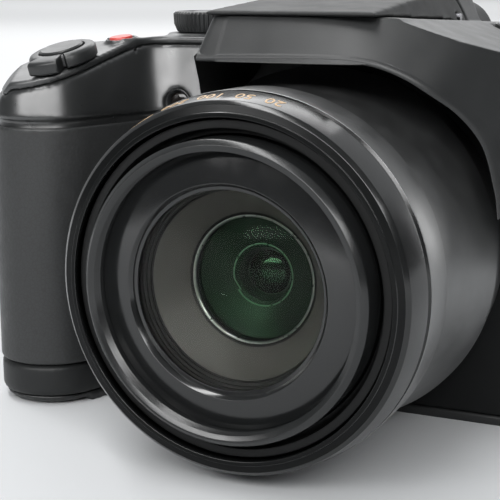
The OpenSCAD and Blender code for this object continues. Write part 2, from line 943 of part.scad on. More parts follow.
module lens_barrel()
    color("#26292b") lens_axis() rotate_extrude() {
        difference() {
            polygon([
                [neck_r - touch, trim_end], [flange_r, trim_end],
                [flange_r, flange_y], [neck_r - touch, flange_y]
            ]);
            translate([neck_r + flare_r, trim_end]) circle(flare_r, $fn = 360);
        }
        polygon([
            [barrel_in, trim_y + lip_t + touch], [neck_r, trim_y + lip_t + touch], [neck_r, flange_y],
            [flange_r, flange_y], [flange_r, flange_y + flange_t], [foot_r, flange_y + flange_t],
            [foot_r, front_y - seam - touch], [spigot_r, front_y - seam - touch], [spigot_r, base_y],
            [rear_bore_r, base_y], [rear_bore_r, middle_end + barrel_end],
            [barrel_in, middle_end + barrel_end]
        ]);
    }

trim_face = 2.4;
trim_bevel = 0.8;
trim_cone = 7.6;
groove_t = 1.6;
groove_cut = 0.5;

module trim_ring()
    color("#2f3234") turned([
        [lip_r, trim_y + edge], [lip_r + edge, trim_y], [lip_r + trim_face, trim_y],
        [lip_r + trim_face + trim_bevel, trim_y + trim_bevel / 2], [trim_r - 2 * touch, trim_y + trim_cone],
        [trim_r - groove_cut, trim_y + trim_cone + edge],
        [trim_r - groove_cut, trim_y + trim_cone + groove_t - edge],
        [trim_r, trim_y + trim_cone + groove_t], [trim_r, trim_end], [neck_r + touch, trim_end],
        [neck_r + touch, trim_y + lip_t], [lip_r, trim_y + lip_t]
    ]);

guide_in = 3.6;
guide_y = middle_y + guide_in;
guide_t = 1;

module middle_barrel()
    color("#232628") turned([
        [middle_in + edge, middle_y], [middle_r - edge, middle_y], [middle_r, middle_y + edge],
        [middle_r, middle_end - middle_collar], [barrel_in - play, middle_end - middle_collar],
        [barrel_in - play, middle_end], [middle_in, middle_end], [middle_in, guide_y + guide_t],
        [front_r + play, guide_y + guide_t], [front_r + play, guide_y], [middle_in, guide_y],
        [middle_in, middle_y + edge]
    ]);

rim_flare = 1.1;
rim_r = thread_r + rim_flare;
rim_chamfer = 0.5;
well_r = thread_r + edge;
thread_relief = 0.8;
relief_len = 0.4;
relief_y = name_y - relief_len;
ring_seat_r = thread_r + thread_relief;
ring_lip = 0.7;
glass_hold = 0.8;
front_glass_r = aperture_r + glass_hold;

module front_barrel()
    color("#26292b") turned([
        [rim_r, rim_y], [front_r - edge, rim_y], [front_r, rim_y + edge],
        [front_r, front_end - front_collar], [middle_in - play, front_end - front_collar],
        [middle_in - play, front_end], [well_r, front_end], [well_r, seat_y + bulkhead_t],
        [front_glass_r + 2 * touch, seat_y + bulkhead_t], [front_glass_r + 2 * touch, seat_y],
        [ring_seat_r, seat_y], [ring_seat_r, relief_y], [thread_r, relief_y], [thread_r, rim_y + rim_chamfer]
    ]);

module name_ring()
    color("#1f2123") turned([
        [aperture_r, name_y], [thread_r - touch, name_y], [thread_r - touch, seat_y],
        [aperture_r - ring_lip, seat_y], [aperture_r - ring_lip, seat_y - edge]
    ]);

glass_edge = 1.8;
glass_land = 1.7;
front_glass_back = 120;

module front_lens()
    color("#3b4a46") lens_axis()
        element(front_glass_r, seat_y + touch, seat_y + glass_edge,
            glass_curve, front_glass_back, glass_land);

// Stepped baffle behind the front glass, and the tail that holds the inner glass
step_n = 7;
step_t = 1.2;
step_lead = 1.5;
step_from = baffle_y + step_lead;
step_pitch = 1.25;
step_to = step_from + step_n * step_pitch;
mouth_r = aperture_r + edge;
throat_gap = 0.2;
throat_r = inner_glass_r + throat_gap;
step_in = (mouth_r - throat_r) / step_n;
tail_t = 1.8;
tail_len = 6;
tail_end = step_to + tail_len;

module lens_baffle()
    color("#151617") {
        ring(mouth_r, well_r - 2 * touch, baffle_y, step_from);
        for (i = [0 : step_n - 1]) {
            r = mouth_r - step_in * (i + 1);
            ring(r, r + step_in + step_t, step_from + step_pitch * i, step_from + step_pitch * (i + 1));
        }
        ring(throat_r, throat_r + tail_t, step_to, tail_end);
    }

inner_edge = 2.4;
inner_curve = 24;
inner_back = 40;
inner_land = 0.6;

module inner_lens()
    color("#2f5a48") lens_axis() element(throat_r - 2 * touch, step_to + 2 * touch,
        step_to + 2 * touch + inner_edge, inner_curve, inner_back, inner_land);

iris_hole = 9;
iris_case = 17;
iris_plate = 2;

module iris_unit()
    color("#1a1b1c") {
        ring(iris_hole, rear_bore_r - 2 * touch, iris_y, iris_y + iris_plate);
        ring(iris_case, rear_bore_r - 2 * touch, iris_y + iris_plate, iris_y + iris_t);
    }

rear_glass_r = 9;
rear_glass_in = 1.5;
rear_glass_t = 4.5;
rear_curve = 20;
rear_back = 30;
rear_land = 0.8;
snout_r = 11;
snout_len = 8.6;
snout_y = base_y - snout_len;
light_r = 8;

module lens_base()
    color("#33363a") difference() {
        union() {
            ring(light_r, spigot_r + foot_in, base_y, sensor_y);
            ring(rear_glass_r + 2 * touch, snout_r, snout_y, base_y);
        }
        lens_base_screws();
    }

// Screw holes that carry the chassis posts
post_half = 24;
post_r = 2.4;
post_pin_r = 1.2;

module lens_base_screws()
    for (sx = [-1, 1], sz = [-1, 1])
        long_rod(post_pin_r + touch, base_y - 1, sensor_y + 1, sx * post_half, axis_h + sz * post_half);

module rear_lens()
    color("#4a5a55") lens_axis() element(rear_glass_r, snout_y + rear_glass_in,
        snout_y + rear_glass_in + rear_glass_t, rear_curve, rear_back, rear_land);

sensor_w = 14;
sensor_h = 11;
sensor_t = 2;
sensor_rim = 1.5;
sensor_sink = 0.6;
sensor_board_w = 30;
sensor_board_h = 26;
sensor_board_t = 1.2;

module image_sensor()
    color("#2d5b3c") {
        difference() {
            block([-sensor_w / 2, sensor_y, axis_h - sensor_h / 2],
                [sensor_w / 2, sensor_y + sensor_t, axis_h + sensor_h / 2]);
            block([sensor_rim - sensor_w / 2, sensor_y - 1, axis_h + sensor_rim - sensor_h / 2],
                [sensor_w / 2 - sensor_rim, sensor_y + sensor_sink, axis_h + sensor_h / 2 - sensor_rim]);
        }
        block([-sensor_board_w / 2, sensor_y + sensor_t, axis_h - sensor_board_h / 2],
            [sensor_board_w / 2, sensor_y + sensor_t + sensor_board_t, axis_h + sensor_board_h / 2]);
    }

motor_r = 5;
motor_side = 4.6;
motor_lift = 6;
motor_x = far_side - wall - motor_r - motor_side;
motor_z = base_t + play + motor_r + motor_lift;
motor_end = cover_split;
shaft_r = 1;
shaft_len = 3;

module zoom_motor()
    color("#8a8d90") {
        long_rod(motor_r, base_y, motor_end - shaft_len, motor_x, motor_z);
        long_rod(shaft_r, motor_end - shaft_len, motor_end, motor_x, motor_z);
    }

// Chassis between lens and main board
frame_over = 20;
frame_gap = 1;
frame_left = -hump_left - frame_over;
frame_right = motor_x - motor_r - frame_gap;
frame_low = 8;
frame_top = 3;
frame_high = hump_seam_z - frame_top;
standoff_r = 2;
cable_hole_r = 4;
cable_hole_x = 5;
capacitor_r = 5;
capacitor_len = 36;
capacitor_gap = 5;
capacitor_z = motor_z + motor_r + capacitor_gap;

module chassis()
    color("#9a9da0") difference() {
        union() {
            block([frame_left, chassis_y, frame_low], [frame_right, chassis_y + chassis_t, frame_high]);
            for (sx = [-1, 1], sz = [-1, 1]) {
                x = sx * post_half;
                z = axis_h + sz * post_half;
                long_rod(post_r, sensor_y, chassis_y, x, z);
                long_rod(post_pin_r, base_y + 1, sensor_y, x, z);
            }
            for (p = board_corners())
                long_rod(standoff_r, chassis_y + chassis_t, board_y, p[0], p[1]);
            block([frame_right - frame_gap, chassis_y, capacitor_z - chassis_t - touch],
                [motor_x + frame_gap, chassis_y + capacitor_r, capacitor_z - touch]);
        }
        for (sx = [-1, 1])
            long_rod(cable_hole_r, chassis_y - 1, chassis_y + chassis_t + 1, sx * cable_hole_x, axis_h);
    }

board_in = 3;
board_low = 10;
board_top = 2;
board_high = frame_high - board_top;

function board_corners() = [
    for (x = [frame_left + 2 * board_in, frame_right - 2 * board_in],
        z = [board_low + board_in, board_high - board_in]) [x, z]
];

// Chips on the main board: middle, size and height
processor_t = 1.6;
memory_t = 1.2;
power_chip_t = 1;
driver_t = 2.2;
chips = [
    [[-14, 40], [16, 16], processor_t],
    [[8, 44], [11, 13], memory_t],
    [[10, 24], [9, 9], power_chip_t],
    [[-16, 19], [20, 8], driver_t]
];

module main_board()
    color("#1f5a38") {
        block([frame_left + board_in, board_y, board_low],
            [frame_right - board_in, board_y + board_t, board_high]);
        for (c = chips)
            translate([c[0][0], board_y + board_t, c[0][1]]) rotate([-90, 0, 0])
                linear_extrude(c[2]) square(c[1], center = true);
    }

// Battery, card and their box

box_out = 6.3;
box_back = 3.5;
box_x0 = nose_x - box_out;
box_y0 = nose_y + box_back;
box_z0 = base_t + 2 * touch;
cell_x = box_x0 + box_wall;
cell_y = box_y0 + box_wall;
card_x = cell_x + battery_t + 2 * run_fit + box_wall;
card_in = 4;
card_y = cell_y + card_in;
box_x1 = card_x + card_t + 2 * run_fit + box_wall;
box_y1 = cell_y + battery_d + 2 * run_fit + box_wall;
head_room = 1;
box_top = box_z0 + battery_h + head_room + box_wall;
contact_pitch = 4;
contact_in = 5;
contact_size = [2, 4, 1];

module battery_box()
    color("#c9c4b4") difference() {
        block([box_x0, box_y0, box_z0], [box_x1, box_y1, box_top]);
        block([cell_x, cell_y, 0],
            [cell_x + battery_t + 2 * run_fit, cell_y + battery_d + 2 * run_fit,
                box_z0 + battery_h + head_room]);
        block([card_x, card_y, 0],
            [card_x + card_t + 2 * run_fit, card_y + card_d + 2 * run_fit, box_z0 + card_h + head_room]);
    }

module battery()
    color("#46484c") difference() {
        translate([cell_x + run_fit, cell_y + run_fit, box_z0]) cube([battery_t, battery_d, battery_h]);
        for (i = [-1 : 1])
            translate([cell_x + battery_t / 2 + contact_pitch * i, cell_y + contact_in, box_z0 + battery_h])
                cube(contact_size, center = true);
    }

card_corner = 4;

module memory_card()
    color("#2c4f8a") translate([card_x + run_fit, card_y + run_fit, box_z0]) side_slab(0, card_t)
        polygon([
            [0, 0], [card_d, 0], [card_d, card_h - card_corner], [card_d - card_corner, card_h], [0, card_h]
        ]);

// Battery door, its hinge, latch and opening

door_lap = 0.6;
door_x0 = box_x0 + door_lap + play;
door_x1 = box_x1 - door_lap - play;
door_y0 = box_y0 + door_lap + play;
door_y1 = box_y1 - door_lap - play;
door_z = 0.1;
door_t = 2.1;
door_hinge_r = door_t / 2;
door_hinge_x = door_x1 - door_hinge_r;
door_hinge_z = door_z + door_hinge_r;
door_pin_r = 0.6;
door_pin_out = 2.5;
latch_w = 9;
latch_y = (door_y0 + door_y1) / 2;
latch_t = 0.9;
latch_travel = 2.2;
latch_len = 6;
latch_tongue = 1.2;
rib_in = 1;
rib_w = 0.6;

module door_opening()
    block([door_x0 - play, door_y0 - play, -1], [door_x1 + play, door_y1 + play, base_t + 1]);

module latch_notch()
    block([door_x0 - latch_tongue - play, latch_y - latch_w / 2 - play, -1],
        [door_x0, latch_y + latch_w / 2 + play, door_z + latch_t + play]);

module battery_door()
    color("#2a2c2e") difference() {
        union() {
            block([door_x0, door_y0, door_z], [door_hinge_x, door_y1, door_z + door_t]);
            long_rod(door_hinge_r, door_y0, door_y1, door_hinge_x, door_hinge_z);
        }
        long_rod(door_pin_r + run_fit, door_y0 - 1, door_y1 + 1, door_hinge_x, door_hinge_z);
        block([door_x0 - 1, latch_y - latch_w / 2 - play, -1],
            [door_x0 + latch_len + latch_travel + play, latch_y + latch_w / 2 + play,
                door_z + latch_t + play]);
    }

module door_hinge_pin()
    color("silver") long_rod(door_pin_r, door_y0 - door_pin_out, door_y1 + door_pin_out,
        door_hinge_x, door_hinge_z);

module door_latch()
    color("#3a3c3e") difference() {
        block([door_x0 - latch_tongue, latch_y - latch_w / 2, door_z],
            [door_x0 + latch_len, latch_y + latch_w / 2, door_z + latch_t]);
        for (i = [0 : 3])
            translate([door_x0 + rib_in + 2 * rib_w * i, latch_y - latch_w / 3, 0])
                cube([rib_w, latch_w * 2 / 3, door_z + edge]);
    }

// Port cover, the floor behind it and the two sockets

port_y = 5;
port_z = glass_z;
port_depth = 3;
port_floor_t = 1.6;
port_pin_r = 0.5;
port_pin_out = 1;
port_hinge_x = far_side - port_t / 2;
port_hinge_y = port_y - port_w / 2 + port_t / 2;
socket_gap = 0.2;
socket_out = 0.8;
port_pitch = 10;
hdmi_z = port_z + port_pitch / 2;
usb_z = port_z - port_pitch / 2;
hdmi_size = [8, 7.6, 3.9];
usb_size = [6.5, 8, 3.2];
shell_t = 0.5;
shell_back = 1.5;
tongue_in = 1.6;
tongue_t = 0.7;

module port_floor()
    block([far_side - port_depth - port_floor_t, port_y - port_w / 2 - 1, port_z - port_h / 2 - 1],
        [far_side - wall + seam, port_y + port_w / 2 + 1, port_z + port_h / 2 + 1]);

module port_cuts() {
    block([far_side - port_depth, port_y - port_w / 2 - play, port_z - port_h / 2 - play],
        [far_side + 1, port_y + port_w / 2 + play, port_z + port_h / 2 + play]);
    translate([port_hinge_x, port_hinge_y, port_z]) cylinder(
        r = port_pin_r + run_fit, h = port_h + 2 * port_pin_out + 1, center = true);
    socket_block(hdmi_size, hdmi_z, socket_gap);
    socket_block(usb_size, usb_z, socket_gap);
}

module socket_block(size, z, gap)
    block([far_side - port_depth + socket_out - size[0] - gap, port_y - size[1] / 2 - gap,
            z - size[2] / 2 - gap],
        [far_side - port_depth + socket_out, port_y + size[1] / 2 + gap, z + size[2] / 2 + gap]);

module socket(size, z) {
    front = far_side - port_depth + socket_out;
    difference() {
        socket_block(size, z, 0);
        block([front - size[0] + shell_back, port_y - size[1] / 2 + shell_t, z - size[2] / 2 + shell_t],
            [front + 1, port_y + size[1] / 2 - shell_t, z + size[2] / 2 - shell_t]);
    }
    block([front - size[0] + shell_t, port_y - size[1] / 2 + tongue_in, z - tongue_t / 2],
        [front - socket_out, port_y + size[1] / 2 - tongue_in, z + tongue_t / 2]);
}

module port_cover()
    color("#26282a") {
        block([far_side - port_t, port_hinge_y, port_z - port_h / 2],
            [far_side, port_y + port_w / 2, port_z + port_h / 2]);
        translate([port_hinge_x, port_hinge_y, port_z - port_h / 2]) cylinder(r = port_t / 2, h = port_h);
        translate([port_hinge_x, port_hinge_y, port_z])
            cylinder(r = port_pin_r, h = port_h + 2 * port_pin_out, center = true);
    }

module hdmi_socket() color("silver") socket(hdmi_size, hdmi_z);

module usb_socket() color("silver") socket(usb_size, usb_z);

// Monitor and viewfinder

module monitor_glass()
    color("#101214") back_frame(glass_x, glass_z) translate([0, 0, touch - glass_t])
        linear_extrude(glass_t - 2 * touch)
            rounded_square(glass_w - 4 * touch, glass_h - 4 * touch, glass_corner);

monitor_t = 5;

module monitor_panel()
    color("#33373b") back_frame(glass_x, glass_z) translate([0, 0, -glass_frame_t - 2 * touch - monitor_t])
        linear_extrude(monitor_t) rounded_square(glass_w - glass_corner, glass_h - glass_corner, 1);

cup_floor = 1.6;
cup_r = 9;
eye_out = 0.4;
eye_front = 60;
eye_back = 26;
eye_land = 1.2;

module eyecup()
    color("#1c1d1e") back_frame(0, cup_z) difference() {
        translate([0, 0, touch]) linear_extrude(cup_d) rounded_square(cup_w, cup_h, cup_r);
        translate([0, 0, cup_floor]) linear_extrude(cup_d)
            rounded_square(cup_w - 2 * cup_wall, cup_h - 2 * cup_wall, cup_r - cup_wall);
        through_hole(eye_r + 2 * touch);
    }

module eyepiece_lens()
    color("#56606a") back_frame(0, cup_z)
        element(eye_r, -wall + touch, eye_out, eye_front, eye_back, eye_land);

finder_w = 26;
finder_h = 19;
finder_t = 2.6;
finder_tube = 18;

module viewfinder_module()
    color("#2a2d30") {
        block([-finder_w / 2, finder_y + play, hump_seam_z + 1],
            [finder_w / 2, finder_y + finder_t, hump_seam_z + 1 + finder_h]);
        block([-finder_tube / 2, finder_y + finder_t, cup_z - finder_tube / 2],
            [finder_tube / 2, rear_y - wall - 1, cup_z + finder_tube / 2]);
    }

module dioptre_dial()
    color("#303234") back_frame(dioptre_x, dioptre_z) {
        difference() {
            translate([0, 0, play]) cylinder(r = dioptre_r, h = dioptre_t);
            for (i = [0 : dioptre_n - 1])
                rotate(360 / dioptre_n * i) translate([dioptre_r + dioptre_cut / 2, 0, 0])
                    cylinder(r = dioptre_cut, h = 2 * dioptre_t, $fn = 16);
        }
        translate([0, 0, -wall - dioptre_foot]) {
            cylinder(r = dioptre_axle_r, h = wall + dioptre_foot + play + edge);
            cylinder(r = dioptre_axle_r + dioptre_catch, h = dioptre_foot - play);
        }
    }

// Flash

lid_lead = 1;
lid_front_y = panel_y + panel_lean - lid_lead;
lid_rise_len = 26;
lid_flat = 11;
flash_gap = 1;
flash_half = well_half - flash_gap;
flash_lead = 10.5;
flash_front = panel_y + flash_lead;
flash_fall = 6;
flash_len = 21.5;
flash_back = flash_front + flash_len;
flash_drop = 1;
flash_top = panel_top - flash_drop;
window_w = 30;
window_h = 6.9;
window_t = 1.2;
window_cut = 2;
window_corner = 0.8;
reflector_w = 27.6;
reflector_h = 5.2;
reflector_t = 2.15;

module flash_face()
    translate([0, flash_front + flash_fall / 2, flash_top - flash_fall / 2]) rotate([135, 0, 0]) children();

module ear_slots()
    for (side = [-1, 1]) {
        x = side * ear_x - ear_t / 2 - play;
        w = ear_t + 2 * play;
        reach = ear_r + 2 * play;
        cross_rod(reach + graze, x, x + w, hinge_y, hinge_z);
        for (turn = [0, flash_open])
            translate([x, hinge_y, hinge_z]) rotate([turn, 0, 0])
                block([0, -reach, -beyond / 10], [w, reach, 0]);
    }

module flash_cover()
    color("#3a3d40") difference() {
        union() {
            intersection() {
                slab(lid_front_y, hinge_y + knuckle_r) lid_outline(lid_low - 1);
                union() {
                    side_slab(-lid_half, lid_half) polygon([
                        [lid_front_y, lid_plane(lid_front_y) + play], [lid_front_y, panel_top + 1],
                        [lid_front_y + lid_rise_len, lid_z - 1], [hinge_y - lid_flat, lid_z],
                        [hinge_y, lid_z - 2 * graze],
                        [hinge_y, lid_plane(hinge_y) + play]
                    ]);
                    cross_rod(knuckle_r - graze, -lid_half, lid_half, hinge_y, hinge_z);
                }
            }
            side_slab(-flash_half, flash_half) polygon([
                [flash_front, flash_top], [flash_front + flash_fall, flash_top - flash_fall],
                [flash_back, flash_top - flash_fall], [flash_back, panel_top], [flash_front, panel_top + 1]
            ]);
        }
        ear_slots();
        cross_rod(pin_r + run_fit, -hump_half, hump_half, hinge_y, hinge_z);
        flash_face() {
            translate([0, 0, -window_t - touch]) linear_extrude(window_t + window_cut)
                rounded_square(window_w + 2 * touch, window_h + 2 * touch, window_corner);
            translate([0, 0, -window_t - reflector_t - 3 * touch]) linear_extrude(window_t + reflector_t)
                square([reflector_w + 4 * touch, reflector_h + 4 * touch], center = true);
        }
    }

module flash_window()
    color("#c8ccd0") flash_face() translate([0, 0, -window_t]) linear_extrude(window_t - touch)
        rounded_square(window_w, window_h, window_corner);

tube_r = 0.7;
tube_in = 0.6;
trough_r = 1.85;

module flash_tube()
    color("#d8d8d0") flash_face() translate([0, 0, -window_t - 2 * touch]) {
        difference() {
            translate([0, 0, -reflector_t]) linear_extrude(reflector_t)
                square([reflector_w, reflector_h], center = true);
            cross_rod(trough_r, 2 * tube_in - reflector_w / 2, reflector_w / 2 - 2 * tube_in, 0, 0);
        }
        cross_rod(tube_r, tube_in - reflector_w / 2, reflector_w / 2 - tube_in, 0, -tube_r - 2 * touch);
    }

module flash_hinge_pin()
    color("silver") cross_rod(pin_r, pin_in - hump_half, hump_half - pin_in, hinge_y, hinge_z);

module flash_capacitor()
    color("#2b2f55") translate([motor_x, chassis_y + chassis_t, capacitor_z])
        cylinder(r = capacitor_r, h = capacitor_len);

// Controls on the top

sleeve_r = 4;
sleeve_in = 2.5;
keeper_r = 4.6;
keeper_depth = 3.6;
lever_t = 1;
lever_low = 0.4;
lever_rim = 3.2;
lever_tab = 2.8;
tab_w = 7;
tab_root = 1.5;
tab_rise = 0.6;
tab_turn = 252;
shutter_stem_r = sleeve_in - play;
shutter_stem = 6;
shutter_travel = 1.2;
shutter_gap = 0.15;
shutter_low = lever_low + lever_t + shutter_travel + shutter_gap;
shutter_t = 1.3;

module zoom_lever()
    color("#3a3d3f") deck_frame() {
        rotate_extrude() polygon([
            [sleeve_in, -keeper_depth], [keeper_r, -keeper_depth], [keeper_r, -deck_t - play],
            [sleeve_r, -deck_t - play], [sleeve_r, lever_low], [lever_r, lever_low],
            [lever_r, lever_rim - edge], [lever_r - edge, lever_rim],
            [shutter_r + play + edge, lever_rim], [shutter_r + play, lever_rim - edge],
            [shutter_r + play, lever_low + lever_t], [sleeve_in, lever_low + lever_t]
        ]);
        difference() {
            rotate(tab_turn) translate([lever_r + (lever_tab - tab_root) / 2, 0, lever_low])
                linear_extrude(lever_rim + tab_rise) rounded_square(lever_tab + tab_root, tab_w, 1);
            through_hole(shutter_r + play + 1);
        }
    }

module shutter_button()
    color("#c4c6c8") deck_frame() rotate_extrude() polygon([
        [0, -shutter_stem], [shutter_stem_r, -shutter_stem], [shutter_stem_r, shutter_low],
        [shutter_r, shutter_low], [shutter_r, shutter_low + shutter_t - edge],
        [shutter_r - edge, shutter_low + shutter_t],
        [shutter_r / 2, shutter_low + shutter_t - edge / 2], [0, shutter_low + shutter_t - edge]
    ]);

module movie_button()
    color("#b3261e") movie_frame() rotate_extrude() polygon([
        [0, -movie_boss - play - 1], [movie_keeper_r, -movie_boss - play - 1],
        [movie_keeper_r, -movie_boss - play], [movie_stem_r, -movie_boss - play],
        [movie_stem_r, -movie_sink], [movie_r, -movie_sink], [movie_r, collar_h + button_rise - edge],
        [movie_r - edge, collar_h + button_rise], [0, collar_h + button_rise]
    ]);

module mode_dial()
    color("#2b2d2f") mode_frame() {
        difference() {
            rotate_extrude() polygon([
                [0, play], [mode_foot_r, play], [mode_foot_r, mode_foot_h], [mode_r, mode_foot_h + edge],
                [mode_r, mode_foot_h + mode_h - edge], [mode_r - edge, mode_foot_h + mode_h],
                [0, mode_foot_h + mode_h]
            ]);
            translate([0, 0, mode_foot_h]) knurl(mode_r, mode_h + 1, edge);
        }
        translate([0, 0, -mode_plate - mode_keeper_t]) {
            cylinder(r = mode_axle_r, h = mode_plate + mode_keeper_t + 1);
            cylinder(r = mode_axle_r + mode_catch, h = mode_keeper_t - play);
        }
    }

switch_cap = [6, 4.5, 1.6];
switch_foot = [5, 4.8, 1];

module power_switch()
    color("#3a3d3f") switch_frame() translate([-switch_travel / 2, 0, 0]) {
        translate([0, 0, play]) linear_extrude(switch_cap[2]) rounded_square(switch_cap[0], switch_cap[1], 1);
        translate([0, 0, -switch_plate - play - switch_foot[2]]) {
            linear_extrude(switch_plate + 3 * play + switch_foot[2]) square(switch_stem, center = true);
            linear_extrude(switch_foot[2]) square([switch_foot[0], switch_foot[1]], center = true);
        }
    }

module flash_button()
    color("#303234") flash_button_frame() push_button(button_r, button_rise, roof_t);

// Controls on the back

module rear_dial()
    color("#2b2d2f") translate([dial_x, dial_y, dial_z]) {
        difference() {
            translate([0, 0, -rear_dial_t / 2]) cylinder(r = rear_dial_r, h = rear_dial_t);
            translate([0, 0, -rear_dial_t]) knurl(rear_dial_r, 2 * rear_dial_t, edge);
        }
        translate([0, 0, -rear_dial_t / 2 - play - dial_lug_t])
            cylinder(r = dial_axle_r, h = rear_dial_t + 2 * (play + dial_lug_t));
    }

module back_button(x, z) color("#303234") back_frame(x, z) push_button(button_r, button_rise, wall);

module lock_button() back_button(lock_x, lock_z);

module viewfinder_button() back_button(viewfinder_x, viewfinder_z);

module play_button() back_button(play_x, play_z);

cursor_arc = 86;
cursor_catch_r = cursor_r + 2 * button_catch;

module cursor_key(turn)
    color("#303234") back_frame(cursor_x, cursor_z) rotate(turn - cursor_arc / 2)
        rotate_extrude(angle = cursor_arc) polygon([
            [menu_r + play, -wall - play - button_flange_t], [cursor_catch_r, -wall - play - button_flange_t],
            [cursor_catch_r, -wall - play], [cursor_r, -wall - play], [cursor_r, button_rise - edge],
            [cursor_r - edge, button_rise], [menu_r + play, button_rise]
        ]);

module cursor_up() cursor_key(-90);

module cursor_down() cursor_key(90);

module cursor_left() cursor_key(180);

module cursor_right() cursor_key(0);

module menu_button()
    color("#3a3d3f") back_frame(cursor_x, cursor_z)
        push_button(menu_r, button_rise, wall + play + button_flange_t + button_travel);

// Strap lugs and tripod socket

lug_y = 6;
lug_drop = 8;
lug_z = hump_seam_z - lug_drop;
lug_stem_r = 2;
lug_out = 6;
lug_w = 12;
lug_t = 2.6;
slot_w = 2.4;
slot_len = 8;
lug_root = 0.5;
lug_corner = 2;
slot_out = 0.6;
slot_corner = 1;

// A frame on either side, with X out of it
module lug_frames() {
    translate([far_side, lug_y, lug_z]) children();
    translate([-grip_side, lug_y, lug_z]) mirror([1, 0, 0]) children();
}

module strap_lugs()
    color("silver") lug_frames() {
        cross_rod(lug_stem_r, -wall - lug_root, lug_root, 0, 0);
        translate([lug_out / 2 + touch, 0, -lug_t / 2]) linear_extrude(lug_t) difference() {
            rounded_square(lug_out, lug_w, lug_corner);
            translate([slot_out, 0]) rounded_square(slot_w, slot_len, slot_corner);
        }
    }

socket_r = 5.5;
socket_flange_r = 7;
socket_wall = 1.5;

module tripod_socket()
    color("silver") rotate_extrude() polygon([
        [tripod_r, 0], [socket_r, 0], [socket_r, base_t + 2 * touch], [socket_flange_r, base_t + 2 * touch],
        [socket_flange_r, base_t + socket_wall], [socket_r, base_t + socket_wall],
        [socket_r, tripod_depth + socket_wall], [0, tripod_depth + socket_wall], [0, tripod_depth],
        [tripod_r, tripod_depth]
    ]);

front_cover();
top_cover();
hump_cover();
rear_cover();
base_plate();
grip_rubber();
thumb_rest();
af_lamp();
lens_barrel();
trim_ring();
middle_barrel();
front_barrel();
name_ring();
front_lens();
lens_baffle();
inner_lens();
iris_unit();
rear_lens();
lens_base();
zoom_motor();
image_sensor();
chassis();
main_board();
battery_box();
battery();
memory_card();
battery_door();
door_hinge_pin();
door_latch();
port_cover();
hdmi_socket();
usb_socket();
monitor_glass();
monitor_panel();
eyecup();
eyepiece_lens();
viewfinder_module();
dioptre_dial();
flash_cover();
flash_window();
flash_tube();
flash_hinge_pin();
flash_capacitor();
flash_button();
mode_dial();
power_switch();
zoom_lever();
shutter_button();
movie_button();
rear_dial();
lock_button();
viewfinder_button();
play_button();
cursor_up();
cursor_down();
cursor_left();
cursor_right();
menu_button();
strap_lugs();
tripod_socket();
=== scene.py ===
"""Looks of the bridge camera: covers, lens rings, glass, rubber, small trim, light and camera."""

import json
import math

import bmesh
import bpy
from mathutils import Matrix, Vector
from mathutils.bvhtree import BVHTree

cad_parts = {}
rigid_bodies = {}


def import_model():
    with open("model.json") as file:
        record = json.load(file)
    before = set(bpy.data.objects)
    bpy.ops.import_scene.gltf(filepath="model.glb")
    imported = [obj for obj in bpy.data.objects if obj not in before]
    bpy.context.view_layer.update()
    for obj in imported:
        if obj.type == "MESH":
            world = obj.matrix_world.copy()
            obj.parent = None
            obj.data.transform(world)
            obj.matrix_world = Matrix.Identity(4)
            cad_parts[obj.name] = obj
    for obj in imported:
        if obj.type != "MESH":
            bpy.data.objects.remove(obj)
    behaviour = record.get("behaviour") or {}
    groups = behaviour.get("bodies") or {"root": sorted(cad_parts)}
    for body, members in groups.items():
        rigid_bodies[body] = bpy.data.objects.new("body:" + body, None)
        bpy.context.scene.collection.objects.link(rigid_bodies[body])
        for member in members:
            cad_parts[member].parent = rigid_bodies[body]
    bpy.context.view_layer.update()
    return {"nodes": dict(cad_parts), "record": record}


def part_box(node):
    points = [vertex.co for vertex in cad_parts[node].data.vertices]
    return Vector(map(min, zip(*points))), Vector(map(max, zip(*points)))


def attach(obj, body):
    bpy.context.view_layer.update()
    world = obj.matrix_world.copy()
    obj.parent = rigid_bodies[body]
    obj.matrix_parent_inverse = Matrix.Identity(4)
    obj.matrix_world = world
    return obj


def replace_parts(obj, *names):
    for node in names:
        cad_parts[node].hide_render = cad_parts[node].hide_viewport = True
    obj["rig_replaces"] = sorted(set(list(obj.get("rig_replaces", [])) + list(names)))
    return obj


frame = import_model()
nodes = frame["nodes"]
body_of = {n: b for b, ns in frame["record"]["behaviour"]["bodies"].items() for n in ns}
slot_of = {p["node"]: p["material_slot"] for p in frame["record"]["subparts"]}
scene = bpy.context.scene
MM = 0.001

# Lens sizes, in millimetres, as the solids have them
AXIS_H = 40.1
RIM_Y = -85.0
FRONT_Y = -21.0
THREAD_R = 27.2
FRONT_R = 29.5
MIDDLE_IN = 31.0
MIDDLE_R = 32.8
LIP_R = 33.2
TRIM_R = 37.7
NECK_R = 36.0
FLANGE_R = 39.7
TRIM_Y = RIM_Y + 2.9
TRIM_END = TRIM_Y + 19.1
MIDDLE_Y = TRIM_Y + 1.5
NAME_Y = RIM_Y + 3.2
SEAT_Y = NAME_Y + 1.4
APERTURE_R = 20.3


# Materials

